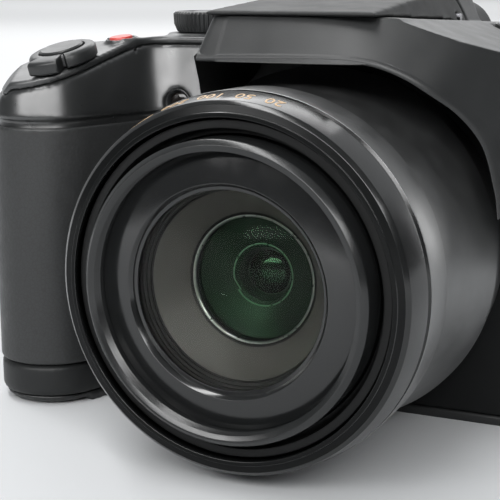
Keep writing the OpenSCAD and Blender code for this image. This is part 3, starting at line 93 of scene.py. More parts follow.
class Nodes:
    """A short way to write a node material."""

    def __init__(self, name):
        self.mat = bpy.data.materials.new(name)
        self.mat.use_nodes = True
        self.tree = self.mat.node_tree
        self.tree.nodes.clear()
        self.out = self.add("ShaderNodeOutputMaterial")
        self.place = self.add("ShaderNodeTexCoord").outputs["Object"]

    def add(self, kind, **values):
        node = self.tree.nodes.new(kind)
        for key, value in values.items():
            setattr(node, key, value)
        return node

    def link(self, a, b):
        self.tree.links.new(a, b)

    def noise(self, scale, detail=3.0, rough=0.55):
        n = self.add("ShaderNodeTexNoise")
        n.inputs["Scale"].default_value = scale
        n.inputs["Detail"].default_value = detail
        n.inputs["Roughness"].default_value = rough
        self.link(self.place, n.inputs["Vector"])
        return n.outputs["Fac"]

    def cells(self, scale, feature="F1", smooth=0.0):
        n = self.add("ShaderNodeTexVoronoi", feature=feature)
        n.inputs["Scale"].default_value = scale
        if feature == "SMOOTH_F1":
            n.inputs["Smoothness"].default_value = smooth
        self.link(self.place, n.inputs["Vector"])
        return n.outputs["Distance"]

    def ramp(self, value, low, high, at=(0.3, 0.7)):
        n = self.add("ShaderNodeValToRGB")
        n.color_ramp.elements[0].position = at[0]
        n.color_ramp.elements[1].position = at[1]
        n.color_ramp.elements[0].color = (*low, 1)
        n.color_ramp.elements[1].color = (*high, 1)
        self.link(value, n.inputs["Fac"])
        return n.outputs["Color"]

    def span(self, value, low, high):
        """Spreads a noise value over a range."""
        n = self.add("ShaderNodeMapRange")
        n.inputs["From Min"].default_value = 0.3
        n.inputs["From Max"].default_value = 0.7
        n.inputs["To Min"].default_value = low
        n.inputs["To Max"].default_value = high
        self.link(value, n.inputs["Value"])
        return n.outputs["Result"]

    def bump(self, height, depth, normal=None):
        n = self.add("ShaderNodeBump")
        n.inputs["Strength"].default_value = 1.0
        n.inputs["Distance"].default_value = depth
        self.link(height, n.inputs["Height"])
        if normal:
            self.link(normal, n.inputs["Normal"])
        return n.outputs["Normal"]

    def principled(self, **values):
        n = self.add("ShaderNodeBsdfPrincipled")
        for key, value in values.items():
            socket = n.inputs[key.replace("_", " ")]
            if hasattr(value, "is_output"):
                self.link(value, socket)
            else:
                socket.default_value = value
        self.link(n.outputs["BSDF"], self.out.inputs["Surface"])
        return n


def tone(level, tint=(1.0, 1.0, 1.0)):
    return tuple(level * t for t in tint)


COOL = (0.94, 1.0, 1.02)
# Scales of the mottling and of the uneven gloss, and how far the roughness strays
PATCH_SCALE = 60
GLOSS_SCALE = 180
GLOSS_SPREAD = 0.04


def moulded(name, level, rough, grain, depth, tint=COOL, spread=0.12, **more):
    """Moulded plastic: a fine grain, a little mottling and uneven gloss."""
    m = Nodes(name)
    colour = m.ramp(m.noise(PATCH_SCALE, 4), tone(level * (1 - spread), tint),
                    tone(level * (1 + spread), tint))
    gloss = m.span(m.noise(GLOSS_SCALE, 3), rough - GLOSS_SPREAD, rough + GLOSS_SPREAD)
    normal = m.bump(m.noise(grain, 2, 0.6), depth)
    m.principled(Base_Color=colour, Roughness=gloss, Normal=normal, **more)
    return m.mat


def sloped(name, level, rough, grain, depth, low, high, rise, **more):
    """Moulded plastic whose surface is shaded as leaning back between two heights."""
    m = Nodes(name)
    place = m.add("ShaderNodeSeparateXYZ")
    m.link(m.place, place.inputs["Vector"])
    lift = m.add("ShaderNodeMapRange", interpolation_type="SMOOTHSTEP")
    lift.inputs["From Min"].default_value = low
    lift.inputs["From Max"].default_value = high
    lift.inputs["To Max"].default_value = rise
    m.link(place.outputs["Z"], lift.inputs["Value"])
    up = m.add("ShaderNodeCombineXYZ")
    m.link(lift.outputs["Result"], up.inputs["Z"])
    lean = m.add("ShaderNodeVectorMath", operation="ADD")
    m.link(m.add("ShaderNodeNewGeometry").outputs["Normal"], lean.inputs[0])
    m.link(up.outputs["Vector"], lean.inputs[1])
    unit = m.add("ShaderNodeVectorMath", operation="NORMALIZE")
    m.link(lean.outputs["Vector"], unit.inputs[0])
    colour = m.ramp(m.noise(PATCH_SCALE, 4), tone(level * 0.88, COOL), tone(level * 1.12, COOL))
    gloss = m.span(m.noise(GLOSS_SCALE, 3), rough - GLOSS_SPREAD, rough + GLOSS_SPREAD)
    normal = m.bump(m.noise(grain, 2, 0.6), depth, unit.outputs["Vector"])
    m.principled(Base_Color=colour, Roughness=gloss, Normal=normal, **more)
    return m.mat


def pebbled(name, level, rough, size, depth):
    """Grained rubber: rounded pebbles, with painted shade darkening the creases between them."""
    m = Nodes(name)
    pebble = m.cells(1 / size, "SMOOTH_F1", 0.6)
    crease = m.cells(1 / size, "DISTANCE_TO_EDGE")
    colour = m.ramp(crease, tone(level * 0.75), tone(level * 1.1, COOL), (0.0, 0.12))
    normal = m.bump(pebble, -depth)
    normal = m.bump(m.noise(5000, 2), depth / 8, normal)
    m.principled(Base_Color=colour, Roughness=m.span(m.noise(300), rough - 0.05, rough + 0.05), Normal=normal)
    return m.mat


def metal(name, colour, rough, scale=900):
    m = Nodes(name)
    tint = m.ramp(m.noise(scale, 3), tone(0.92, colour), tone(1.05, colour))
    normal = m.bump(m.noise(scale * 2, 2), 0.00001)
    m.principled(Base_Color=tint, Metallic=1.0, Roughness=m.span(m.noise(scale), rough - 0.05, rough + 0.08),
                 Normal=normal)
    return m.mat


def glass(name, colour, rough, ior):
    m = Nodes(name)
    tint = m.ramp(m.noise(40, 2), tone(0.97, colour), colour)
    m.principled(Base_Color=tint, Roughness=m.span(m.noise(90), rough, rough + 0.015), IOR=ior,
                 Transmission_Weight=1.0)
    return m.mat


def screen(name, middle, half):
    """Dark cover glass with the lit area a shade lighter than its border."""
    m = Nodes(name)
    place = m.add("ShaderNodeSeparateXYZ")
    m.link(m.place, place.inputs["Vector"])
    sides = []
    for axis, mid, reach in (("X", middle[0], half[0]), ("Z", middle[1], half[1])):
        off = m.add("ShaderNodeMath", operation="SUBTRACT")
        m.link(place.outputs[axis], off.inputs[0])
        off.inputs[1].default_value = mid
        size = m.add("ShaderNodeMath", operation="ABSOLUTE")
        m.link(off.outputs[0], size.inputs[0])
        inside = m.add("ShaderNodeMath", operation="LESS_THAN")
        m.link(size.outputs[0], inside.inputs[0])
        inside.inputs[1].default_value = reach
        sides.append(inside.outputs[0])
    both = m.add("ShaderNodeMath", operation="MULTIPLY")
    m.link(sides[0], both.inputs[0])
    m.link(sides[1], both.inputs[1])
    colour = m.ramp(both.outputs[0], (0.004, 0.004, 0.005), (0.016, 0.019, 0.024), (0.4, 0.6))
    m.principled(Base_Color=colour, Roughness=m.span(m.noise(90), 0.05, 0.08), Coat_Weight=0.6,
                 Coat_Roughness=0.03)
    return m.mat


MATS = {
    "casing": moulded("casing plastic", 0.014, 0.40, 3600, 0.000008),
    "front_casing": sloped("front cover plastic", 0.014, 0.31, 3600, 0.000006, 0.061, 0.067, 0.30,
                           Specular_IOR_Level=1.0),
    # Darker, duller copy of the cover plastic: painted shade on the front cover
    "shade_painted_casing": moulded("cover plastic darkened as painted shade", 0.008, 0.45, 3600, 0.000008, Specular_IOR_Level=0.12),
    "foot_casing": moulded("grip foot plastic", 0.015, 0.45, 3600, 0.000008, Specular_IOR_Level=0.3),
    "deck": moulded("deck plastic", 0.024, 0.36, 3600, 0.000010, Specular_IOR_Level=0.9),
    "hump": moulded("hump plastic", 0.014, 0.42, 3200, 0.000012),
    "lid": moulded("lid plastic", 0.014, 0.56, 3200, 0.000012, Specular_IOR_Level=0.3),
    "rubber": pebbled("grip rubber", 0.020, 0.45, 0.0009, 0.00004),
    "soft_rubber": moulded("soft rubber", 0.016, 0.62, 2400, 0.00003),
    "barrel": moulded("barrel paint", 0.013, 0.42, 4200, 0.000008, Specular_IOR_Level=0.9, IOR=2.1),
    "trim": moulded("ring paint", 0.008, 0.17, 4200, 0.000002),
    # Darker, duller copy of the ring paint for the ring's front faces: painted shade
    "trim_face": moulded("ring paint darkened as painted shade", 0.006, 0.22, 4200, 0.000002, Specular_IOR_Level=0.1),
    "rim": moulded("rim paint", 0.012, 0.23, 2600, 0.000010),
    "name_ring": moulded("name ring paint", 0.009, 0.16, 5200, 0.000002, Specular_IOR_Level=0.62),
    # Dead black, also used as painted shade in the recess under the hump
    "inner_black": moulded("dead black", 0.006, 0.6, 2600, 0.00002),
    "cell_black": moulded("lens cell black", 0.004, 0.45, 2600, 0.000006, Specular_IOR_Level=0.25),
    # Grey on the cell cone: painted reflection of a black cell
    "cell_painted_reflection": moulded("lens cell painted reflection grey", 0.040, 0.5, 1800, 0.000004, (1.0, 0.98, 0.88)),
    "cell_edge": metal("cell edge", (0.20, 0.22, 0.20), 0.3),
    "control": moulded("control plastic", 0.016, 0.36, 3600, 0.00001),
    "movie_red": moulded("red button", 0.50, 0.3, 3000, 0.000006, (1.0, 0.09, 0.07)),
    "mark_white": moulded("white print", 0.62, 0.5, 2500, 0.000002, (1.0, 1.0, 0.98)),
    "mark_gold": moulded("gold print", 0.46, 0.4, 2500, 0.000002, (1.0, 0.66, 0.34)),
    "circuit": moulded("circuit board", 0.16, 0.4, 1500, 0.00001, (0.2, 1.0, 0.45), 0.2),
    "metal": metal("plain steel", (0.62, 0.62, 0.63), 0.3),
    "dark_metal": metal("dark steel", (0.16, 0.16, 0.17), 0.34),
    "reflector": metal("reflector", (0.9, 0.9, 0.88), 0.12),
    "cell": moulded("sleeve", 0.09, 0.4, 1500, 0.00001, (0.85, 0.95, 1.15)),
    "box_plastic": moulded("box plastic", 0.11, 0.5, 1500, 0.00002, (1.0, 0.99, 0.95)),
    "front_glass": glass("front glass", (0.97, 0.98, 0.95), 0.0, 1.14),
    "inner_glass": glass("inner glass", (0.52, 0.80, 0.60), 0.0, 1.09),
    "deep_glass": moulded("deep glass", 0.010, 0.10, 300, 0.0000002, (0.55, 1.0, 0.45),
                          Specular_IOR_Level=0.35),
    "deep_green": moulded("inner cell", 0.009, 0.45, 1500, 0.0000005, (0.62, 1.0, 0.66),
                          Specular_IOR_Level=0.25),
    "glass": glass("clear glass", (0.9, 0.93, 0.95), 0.02, 1.5),
    "flash_glass": glass("flash diffuser", (0.93, 0.94, 0.95), 0.25, 1.45),
    "screen": screen("screen glass", (0.013, 0.031), (0.0315, 0.0222)),
    "lamp": moulded("lamp window", 0.008, 0.10, 900, 0.000002, (1.0, 0.8, 0.7)),
}


# Mesh tools

def piece(name, mesh, material, body, stands_for=(), sharp=35):
    """Shows a mesh as a piece of the object."""
    obj = bpy.data.objects.new(name, mesh)
    scene.collection.objects.link(obj)
    mesh.materials.clear()
    mesh.materials.append(MATS[material])
    mesh.shade_smooth()
    if sharp:
        mesh.set_sharp_from_angle(angle=math.radians(sharp))
    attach(obj, body)
    if stands_for:
        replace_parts(obj, *stands_for)
    return obj


def mesh_from(name, verts, faces):
    mesh = bpy.data.meshes.new(name)
    mesh.from_pydata([Vector(v) * MM for v in verts], [], faces)
    bm = bmesh.new()
    bm.from_mesh(mesh)
    bmesh.ops.remove_doubles(bm, verts=bm.verts, dist=1e-7)
    bmesh.ops.recalc_face_normals(bm, faces=bm.faces)
    bm.to_mesh(mesh)
    bm.free()
    return mesh


def filleted(points, radius, steps=4):
    """A closed outline with each corner rounded, as far as its sides allow."""
    result = []
    count = len(points)
    for i, (p, r) in enumerate(zip(points, radius)):
        p = Vector(p)
        a = Vector(points[i - 1]) - p
        b = Vector(points[(i + 1) % count]) - p
        angle = a.angle(b, math.pi)
        if r <= 0 or angle > math.radians(176):
            result.append(p)
            continue
        cut = min(r / math.tan(angle / 2), 0.45 * a.length, 0.45 * b.length)
        start, end = p + a.normalized() * cut, p + b.normalized() * cut
        for k in range(steps + 1):
            t = k / steps
            result.append((1 - t) ** 2 * start + 2 * t * (1 - t) * p + t ** 2 * end)
    return result


def lathe(name, outline, fillet=0.25, segments=192):
    """Turns a closed outline of (radius, station along Y) round the lens axis."""
    radii = fillet if isinstance(fillet, (list, tuple)) else [fillet] * len(outline)
    ring = filleted([tuple(p) for p in outline], radii)
    n = len(ring)
    verts, faces = [], []
    for s in range(segments):
        a = 2 * math.pi * s / segments
        verts += [(p.x * math.cos(a), p.y, AXIS_H + p.x * math.sin(a)) for p in ring]
    for s in range(segments):
        t = (s + 1) % segments
        for i in range(n):
            j = (i + 1) % n
            faces.append((s * n + i, s * n + j, t * n + j, t * n + i))
    return mesh_from(name, verts, faces)


def welded(node):
    """The CAD node's own mesh with its faces joined, as a new mesh."""
    bm = bmesh.new()
    bm.from_mesh(nodes[node].data)
    bmesh.ops.remove_doubles(bm, verts=bm.verts, dist=2e-6)
    mesh = bpy.data.meshes.new(node + "_copy")
    bm.to_mesh(mesh)
    bm.free()
    return mesh


def softened(mesh, voxel, rounds, grow=0.0):
    """A mesh as one skin with its edges rounded, as a moulding has them."""
    obj = bpy.data.objects.new(mesh.name + "_work", mesh)
    scene.collection.objects.link(obj)
    grid = obj.modifiers.new("grid", "REMESH")
    grid.mode = "VOXEL"
    grid.voxel_size = voxel * MM
    soft = obj.modifiers.new("soft", "SMOOTH")
    soft.factor = 0.5
    soft.iterations = rounds
    if grow:
        swell = obj.modifiers.new("grow", "DISPLACE")
        swell.strength = grow * MM
        swell.mid_level = 0
    bpy.context.view_layer.update()
    view = bpy.context.evaluated_depsgraph_get()
    result = bpy.data.meshes.new_from_object(obj.evaluated_get(view))
    bpy.data.objects.remove(obj)
    return result


def soft_cover(node, name, material, voxel=0.5, rounds=6, grow=0.0):
    mesh = softened(welded(node), voxel, rounds, grow)
    return piece(name, mesh, material, body_of[node], (node,), sharp=None)


# Front facets of the hump: normal, and distance from the origin in millimetres
HUMP_FACETS = (
    ((0.001, -0.832, 0.555), 93.61),
    ((0.401, -0.728, 0.556), 94.35),
    ((0.823, -0.547, 0.152), 65.04),
)
# Softness of the bends between them, the panel's edge toward the grip, and the depth that bends along
MELT = 3.2
PANEL_X = -14
MELT_DEPTH = 12
FULL_DEPTH = 5


def hump_front(x, z):
    """Stations of the hump's front: of the facets, and of the bent sheet."""
    stations = [(d - n[0] * x - n[2] * z) / n[1] for n, d in HUMP_FACETS]
    hard = max(stations)
    return hard, hard + MELT * math.log(sum(math.exp((s - hard) / MELT) for s in stations))


def melt_creases(mesh):
    """Turns the hump's front facets into one bent sheet."""
    for v in mesh.vertices:
        x, y, z = v.co / MM
        if x < PANEL_X:
            continue
        hard, soft = hump_front(x, z)
        behind = y - hard
        if behind < MELT_DEPTH:
            share = min(1.0, (MELT_DEPTH - max(behind, FULL_DEPTH)) / (MELT_DEPTH - FULL_DEPTH))
            skin = min(1.0, max(0.0, (1.4 - behind) / 0.8))
            v.co.y = (skin * (soft - 0.1) + (1 - skin) * (y + (soft - hard) * share)) * MM
    mesh.update()


# Front edge of the hump's wall down the grip side of the barrel
WALL_EDGE = ((-18.9, -57.2, 82.6), (-19.7, -54.5, 79.6), (-20.9, -51.2, 77.4), (-22.3, -48.0, 75.7),
             (-23.9, -44.6, 74.4), (-25.6, -41.0, 73.2), (-27.3, -37.0, 72.0), (-29.2, -33.0, 70.8))


def recess_wall():
    """The wall from its sharp front edge back to the front cover."""
    verts, faces = [], []
    for x, y, z in WALL_EDGE:
        out = Vector((x, 0, z - AXIS_H)).normalized()
        for at, thick in ((y, 0.15), (min(y + 7, FRONT_Y - 2), 2.4), (FRONT_Y - 0.4, 3.4)):
            verts.append((x, at, z))
            verts.append((x + out.x * thick, at, z + out.z * thick))
    row = 6
    loop = (0, 2, 4, 5, 3, 1)
    for k in range(len(WALL_EDGE) - 1):
        for a, b in zip(loop, loop[1:] + loop[:1]):
            faces.append((k * row + a, k * row + b, (k + 1) * row + b, (k + 1) * row + a))
    last = row * (len(WALL_EDGE) - 1)
    faces += [loop[::-1], tuple(last + i for i in loop)]
    return mesh_from("recess_wall", verts, faces)


# Lower edge of the hump's panel and its arch over the barrel, as (x, z)
ARCH = ((-18.3, 81.8), (-10.4, 82.0), (-1.7, 82.2), (6.7, 82.3), (12.7, 82.2), (17.1, 81.7),
        (21.4, 80.6), (26.3, 78.3), (31.8, 74.1), (34.4, 71.4), (36.5, 68.4), (38.1, 65.3),
        (39.2, 61.9), (40.1, 58.2), (40.9, 54.6), (41.4, 50.8))


def through(points, steps):
    """More points on a smooth line through the given ones."""
    result = []
    ends = [points[0]] + list(points) + [points[-1]]
    for a, b, c, d in zip(ends, ends[1:], ends[2:], ends[3:]):
        a, b, c, d = (Vector(p) for p in (a, b, c, d))
        for k in range(steps):
            t = k / steps
            result.append(b + 0.5 * t * (c - a + t * (2 * a - 5 * b + 4 * c - d + t * (3 * (b - c) + d - a))))
    return result + [Vector(points[-1])]


def arch_lip():
    """A rounded lip along the arch, its outer side running into the hump's skin."""
    line = through(ARCH, 6)
    verts, faces = [], []
    for k, p in enumerate(line):
        out = Vector((max(p.x, 0), p.y - AXIS_H)).normalized()
        t = min(1.0, max(0.0, (k / len(line) - 0.4) / 0.5))
        wide = 2.2 + 7 * t * t * (3 - 2 * t)
        section = ((0, 3.4), (0, 0.75), (0.15, 0.25), (0.5, -0.1), (1.1, -0.22), (wide, 0.2), (wide, 2.6))
        for off, back in section:
            x, z = p + out * off
            verts.append((x, hump_front(x, z)[1] + back, z))
    row = len(section)
    for k in range(len(line) - 1):
        for i in range(row):
            j = (i + 1) % row
            faces.append((k * row + i, k * row + j, (k + 1) * row + j, (k + 1) * row + i))
    last = row * (len(line) - 1)
    faces += [tuple(range(row))[::-1], tuple(last + i for i in range(row))]
    return mesh_from("arch_lip", verts, faces)


def joined(*meshes):
    bm = bmesh.new()
    for mesh in meshes:
        bm.from_mesh(mesh)
    result = bpy.data.meshes.new("joined")
    bm.to_mesh(result)
    bm.free()
    return result


# Covers

# Where the front cover takes a darker, duller copy of its plastic as painted shade (toward the barrel and
# below the grip's shoulder), and the grip's foot, which keeps a lighter copy, in metres
PAINTED_SHADE_X = -0.030
SHADE_Z = 0.0605
FOOT_Z = 0.020
# The recess round the barrel, in metres; the hump's front-facing faces inside it are dead black as painted
# shade
RECESS_R = 0.047
RECESS_Y = -0.034

front_shell = soft_cover("front_cover", "front_shell", "front_casing", 0.5, 8, 0.1)
front_shell.data.materials.append(MATS["shade_painted_casing"])
front_shell.data.materials.append(MATS["foot_casing"])
# Front cover faces: the shiny copy on the grip's upper front, the darker copy as painted shade elsewhere, a
# lighter copy on the foot
for face in front_shell.data.polygons:
    if face.center.x > PAINTED_SHADE_X:
        face.material_index = 1
    elif face.center.z < SHADE_Z:
        face.material_index = 2 if face.center.z < FOOT_Z else 1
soft_cover("top_cover", "deck_shell", "deck", 0.45, 6, 0.1)
hump = softened(welded("hump_cover"), 0.42, 18, 0.1)
melt_creases(hump)
piece("hump_shell", hump, "hump", body_of["hump_cover"], ("hump_cover",), sharp=None)
# Hump faces facing forward inside the recess are dead black: painted shade under the hump
hump.materials.append(MATS["inner_black"])
for face in hump.polygons:
    inside = math.hypot(face.center.x, face.center.z - AXIS_H * MM) < RECESS_R
    face.material_index = int(inside and face.center.y > RECESS_Y and face.normal.y < -0.6)
piece("arch_lip", arch_lip(), "hump", body_of["hump_cover"], sharp=50)
# Dead black wall: painted shade down the grip side of the barrel under the hump
piece("recess_wall_painted_shade", recess_wall(), "inner_black", body_of["hump_cover"], sharp=40)
soft_cover("rear_cover", "rear_shell", "casing", 0.7, 4)
soft_cover("base_plate", "base_shell", "casing", 0.6, 4)
soft_cover("flash_cover", "flash_lid", "lid", 0.42, 22, 0.12)
soft_cover("grip_rubber", "grip_skin", "rubber", 0.45, 5)
soft_cover("thumb_rest", "thumb_skin", "rubber", 0.35, 5)
soft_cover("eyecup", "eyecup_rubber", "soft_rubber", 0.45, 6)
soft_cover("strap_lugs", "strap_loops", "metal", 0.25, 4)


# Lens

def turned(name, node, material, outline, fillet=0.25, sharp=None):
    return piece(name, lathe(name, outline, fillet), material, body_of[node], (node,), sharp=sharp)


outer_ring = turned("outer_ring", "trim_ring", "trim", [
    (LIP_R, TRIM_Y), (LIP_R + 0.9, TRIM_Y + 0.14), (LIP_R + 1.0, TRIM_Y + 0.3), (LIP_R + 2.35, TRIM_Y + 0.62),
    (LIP_R + 3.15, TRIM_Y + 1.4), (TRIM_R - 0.1, TRIM_Y + 7.6),
    (TRIM_R - 0.7, TRIM_Y + 7.9), (TRIM_R - 0.7, TRIM_Y + 9.0), (TRIM_R, TRIM_Y + 9.4),
    (TRIM_R, TRIM_END), (NECK_R + 0.05, TRIM_END), (NECK_R + 0.05, TRIM_Y + 2.3), (LIP_R, TRIM_Y + 2.3)],
    [0.2, 0.1, 0.05, 0.35, 0.35, 0.25, 0.15, 0.15, 0.2, 0.4, 0, 0, 0])
outer_ring.data.materials.append(MATS["trim_face"])
outer_ring.data.materials.append(MATS["barrel"])
# The ring's front faces take the darker copy of its paint as painted shade; its rear band takes the barrel
# paint
for face in outer_ring.data.polygons:
    if face.center.y > (TRIM_Y + 9.3) * MM:
        face.material_index = 2
    elif face.normal.y < -0.93 and face.center.y < (TRIM_Y + 1) * MM:
        face.material_index = 1

# The middle tube takes the darkest cell black: painted shade in the gap between the rings
turned("middle_tube", "middle_barrel", "cell_black", [
    (MIDDLE_IN, MIDDLE_Y), (MIDDLE_R, MIDDLE_Y), (MIDDLE_R, MIDDLE_Y + 36.6),
    (MIDDLE_R + 1.1, MIDDLE_Y + 36.6),
    (MIDDLE_R + 1.1, MIDDLE_Y + 40.6), (MIDDLE_IN, MIDDLE_Y + 40.6), (MIDDLE_IN, MIDDLE_Y + 4.6),
    (FRONT_R + 0.3, MIDDLE_Y + 4.6), (FRONT_R + 0.3, MIDDLE_Y + 3.6), (MIDDLE_IN, MIDDLE_Y + 3.6)],
    [0.3, 0.3, 0, 0.2, 0.2, 0, 0, 0.1, 0.1, 0])

# Front barrel with the turns of its filter thread
THREAD_PITCH = 0.75
THREAD_TURNS = 3
thread = []
for k in range(THREAD_TURNS):
    y = RIM_Y + 0.55 + THREAD_PITCH * k
    thread += [(THREAD_R, y), (THREAD_R + 0.32, y + 0.3), (THREAD_R + 0.32, y + 0.42), (THREAD_R, y + 0.72)]
front_outline = [
    (THREAD_R + 0.9, RIM_Y + 0.1), (FRONT_R - 1.05, RIM_Y), (FRONT_R, RIM_Y + 1.0), (FRONT_R, RIM_Y + 38),
    (MIDDLE_IN - 0.3, RIM_Y + 38),
    (MIDDLE_IN - 0.3, RIM_Y + 41), (THREAD_R + 0.3, RIM_Y + 41), (THREAD_R + 0.3, SEAT_Y + 2),
    (21.2, SEAT_Y + 2), (21.2, SEAT_Y), (THREAD_R, SEAT_Y)] + thread[::-1]
turned("front_tube", "front_barrel", "rim", front_outline,
       [0.2, 0.45, 0.6] + [0] * 8 + [0.04] * len(thread), sharp=50)

turned("name_band", "name_ring", "name_ring", [
    (APERTURE_R + 0.65, NAME_Y - 0.3), (THREAD_R - 0.05, NAME_Y + 0.9), (THREAD_R - 0.05, SEAT_Y),
    (APERTURE_R - 0.7, SEAT_Y), (APERTURE_R - 0.7, SEAT_Y - 0.3), (APERTURE_R, SEAT_Y - 0.4),
    (APERTURE_R, NAME_Y + 0.5)], [0.12, 0.1, 0, 0, 0.08, 0.05, 0.12])

# Stepped cell behind the front glass, with a cone down to the inner glass whose grey is a painted reflection
BAFFLE_R = 27.3
BAFFLE_Y = -78.3
BAFFLE_END = -62.05
CELL_R = 12.2
CELL_Y = -68.0
turned("lens_cell", "lens_baffle", "cell_black", [
    (20.6, BAFFLE_Y), (BAFFLE_R, BAFFLE_Y), (BAFFLE_R, BAFFLE_Y + 1.5), (22.2, BAFFLE_Y + 1.5),
    (14.2, CELL_Y + 0.4), (14.0, BAFFLE_END), (CELL_R, BAFFLE_END), (CELL_R, CELL_Y),
    (12.5, CELL_Y - 0.6), (13.1, CELL_Y - 1.2), (18.6, BAFFLE_Y + 3.0),
    (18.9, BAFFLE_Y + 2.7), (18.9, BAFFLE_Y + 2.2), (19.5, BAFFLE_Y + 2.1), (19.5, BAFFLE_Y + 1.5),
    (20.1, BAFFLE_Y + 1.4), (20.1, BAFFLE_Y + 0.8), (20.6, BAFFLE_Y + 0.7)],
    [0.1, 0.1, 0, 0, 0, 0, 0, 0, 0.1, 0.2, 0.2, 0.1, 0.05, 0.1, 0.05, 0.1, 0.05, 0.1], sharp=40)
cone = lathe("cell_cone", [
    (13.2, CELL_Y - 1.5), (18.5, CELL_Y - 7.4), (18.6, CELL_Y - 7.28), (13.2, CELL_Y - 1.3)], 0.04)
piece("cell_cone", cone, "cell_painted_reflection", body_of["lens_baffle"], sharp=40)
collar = lathe("cell_edge", [
    (12.15, CELL_Y - 1.1), (12.4, CELL_Y - 1.35), (12.6, CELL_Y - 1.4), (12.65, CELL_Y - 1.2),
    (12.3, CELL_Y - 0.7), (12.15, CELL_Y - 0.7)], 0.06)
piece("cell_edge", collar, "cell_edge", body_of["lens_baffle"], sharp=40)


def dome(name, radius, edge_y, curve, thick, rings=20):
    """A thin bowl of glass, bulging forward."""
    front, back = [], []
    for k in range(rings + 1):
        r = radius * k / rings
        rise = math.sqrt(curve ** 2 - r ** 2) - math.sqrt(curve ** 2 - radius ** 2)
        front.append((max(r, 0.001), edge_y - rise))
        back.append((max(r, 0.001), edge_y - rise + thick))
    return lathe(name, front + back[::-1], 0, 96)


piece("inner_element", dome("inner_element", 12.1, CELL_Y, 24, 0.5), "inner_glass",
      body_of["inner_lens"], ("inner_lens",), sharp=40)
TUNNEL_Y = CELL_Y + 3.4
tunnel = lathe("inner_cell", [
    (12.0, CELL_Y + 1.2), (11.4, CELL_Y + 1.4), (6.1, TUNNEL_Y), (6.1, TUNNEL_Y + 0.6), (5.3, TUNNEL_Y + 0.8),
    (4.4, TUNNEL_Y + 2.6), (4.4, TUNNEL_Y + 4.0), (12.0, TUNNEL_Y + 4.0)],
    [0.05, 0.2, 0.1, 0.1, 0.2, 0.1, 0, 0])
piece("inner_cell", tunnel, "deep_green", body_of["inner_lens"], sharp=40)
bead = lathe("inner_cell_edge", [
    (5.95, TUNNEL_Y - 0.15), (6.2, TUNNEL_Y - 0.15), (6.2, TUNNEL_Y + 0.1), (5.95, TUNNEL_Y + 0.1)],
    0.05, 128)
piece("inner_cell_edge", bead, "cell_edge", body_of["inner_lens"], sharp=40)
piece("deep_element", dome("deep_element", 4.4, TUNNEL_Y + 3.3, 6.0, 0.4), "deep_glass",
      body_of["inner_lens"], sharp=40)

# Fixed barrel, flaring in an arc from its neck to its flange
FLANGE_Y = FRONT_Y - 12.2
FLARE_STEPS = 12
flare = []
flare_len = FLANGE_Y - TRIM_END
flare_rise = FLANGE_R - NECK_R
flare_r = (flare_len ** 2 + flare_rise ** 2) / (2 * flare_rise)
for k in range(FLARE_STEPS + 1):
    y = flare_len * k / FLARE_STEPS
    flare.append((NECK_R + flare_r - math.sqrt(flare_r ** 2 - y ** 2), TRIM_END + y))
BORE_R = 34.2
TAIL_R = 34.5
TAIL_BORE = 31
turned("lens_housing", "lens_barrel", "barrel", [(BORE_R, TRIM_Y + 2.35), (NECK_R, TRIM_Y + 2.35)] + flare + [
    (FLANGE_R, FLANGE_Y + 1.6), (FLANGE_R - 1.5, FLANGE_Y + 1.6), (FLANGE_R - 1.5, FRONT_Y - 0.2),
    (TAIL_R, FRONT_Y - 0.2), (TAIL_R, FRONT_Y + 2.6), (TAIL_BORE, FRONT_Y + 2.6),
    (TAIL_BORE, MIDDLE_Y + 41.1), (BORE_R, MIDDLE_Y + 41.1)],
    [0.1] * 2 + [0] * FLARE_STEPS + [0.25, 0.35, 0.2, 0.1] + [0] * 5, sharp=40)


# Controls and small trim

def polar(name, at, axes, rings, segments, shape=None):
    """A solid round an axis; each ring is (radius, height, share of the shape's extra radius)."""
    across, along, up = (Vector(a).normalized() for a in axes)
    n = len(rings)
    verts, faces = [], []
    for s in range(segments):
        a = 2 * math.pi * s / segments
        extra = shape(math.degrees(a)) if shape else 0.0
        for r, h, share in rings:
            r += share * extra
            verts.append(Vector(at) + (across * math.cos(a) + along * math.sin(a)) * r + up * h)
    for s in range(segments):
        t = (s + 1) % segments
        for i in range(n):
            j = (i + 1) % n
            faces.append((s * n + i, s * n + j, t * n + j, t * n + i))
    return mesh_from(name, verts, faces)


def eased(x, low, high):
    t = min(1.0, max(0.0, (x - low) / (high - low)))
    return t * t * (3 - 2 * t)


UPRIGHT = ((1, 0, 0), (0, 1, 0), (0, 0, 1))
DECK_TILT = ((0.9932, 0, 0.1167), (-0.0306, 0.965, 0.2604), (-0.1126, -0.2622, 0.9584))
LEVER_AT = (-60.0, -41.7, 79.4)
# The lever's tongue and notch, in degrees round its axis
TONGUE = 271.0
TONGUE_HALF = 25.0
NOTCH = 301.0


def lever_shape(a):
    """The finger tongue at the front, with a notch on its inner side."""
    off = abs(a - TONGUE)
    cut = abs(a - NOTCH)
    return 2.7 * (1 - eased(off, TONGUE_HALF - 4, TONGUE_HALF)) - 1.5 * (1 - eased(cut, 2.5, 5.0))


lever = polar("zoom_collar", LEVER_AT, DECK_TILT, [
    (5.3, 0.9, 0), (5.3, 3.2, 0), (5.55, 3.55, 0), (6.8, 3.5, 1), (7.45, 3.25, 1), (7.8, 2.75, 1),
    (7.8, 0.8, 1), (7.5, 0.45, 1), (5.3, 0.45, 0)], 240, lever_shape)
piece("zoom_collar", lever, "control", body_of["zoom_lever"], ("zoom_lever",), sharp=40)


def knurl(teeth, depth):
    return lambda a: depth * min(1.0, max(0.0, 0.5 + 1.4 * math.cos(math.radians(a * teeth))))


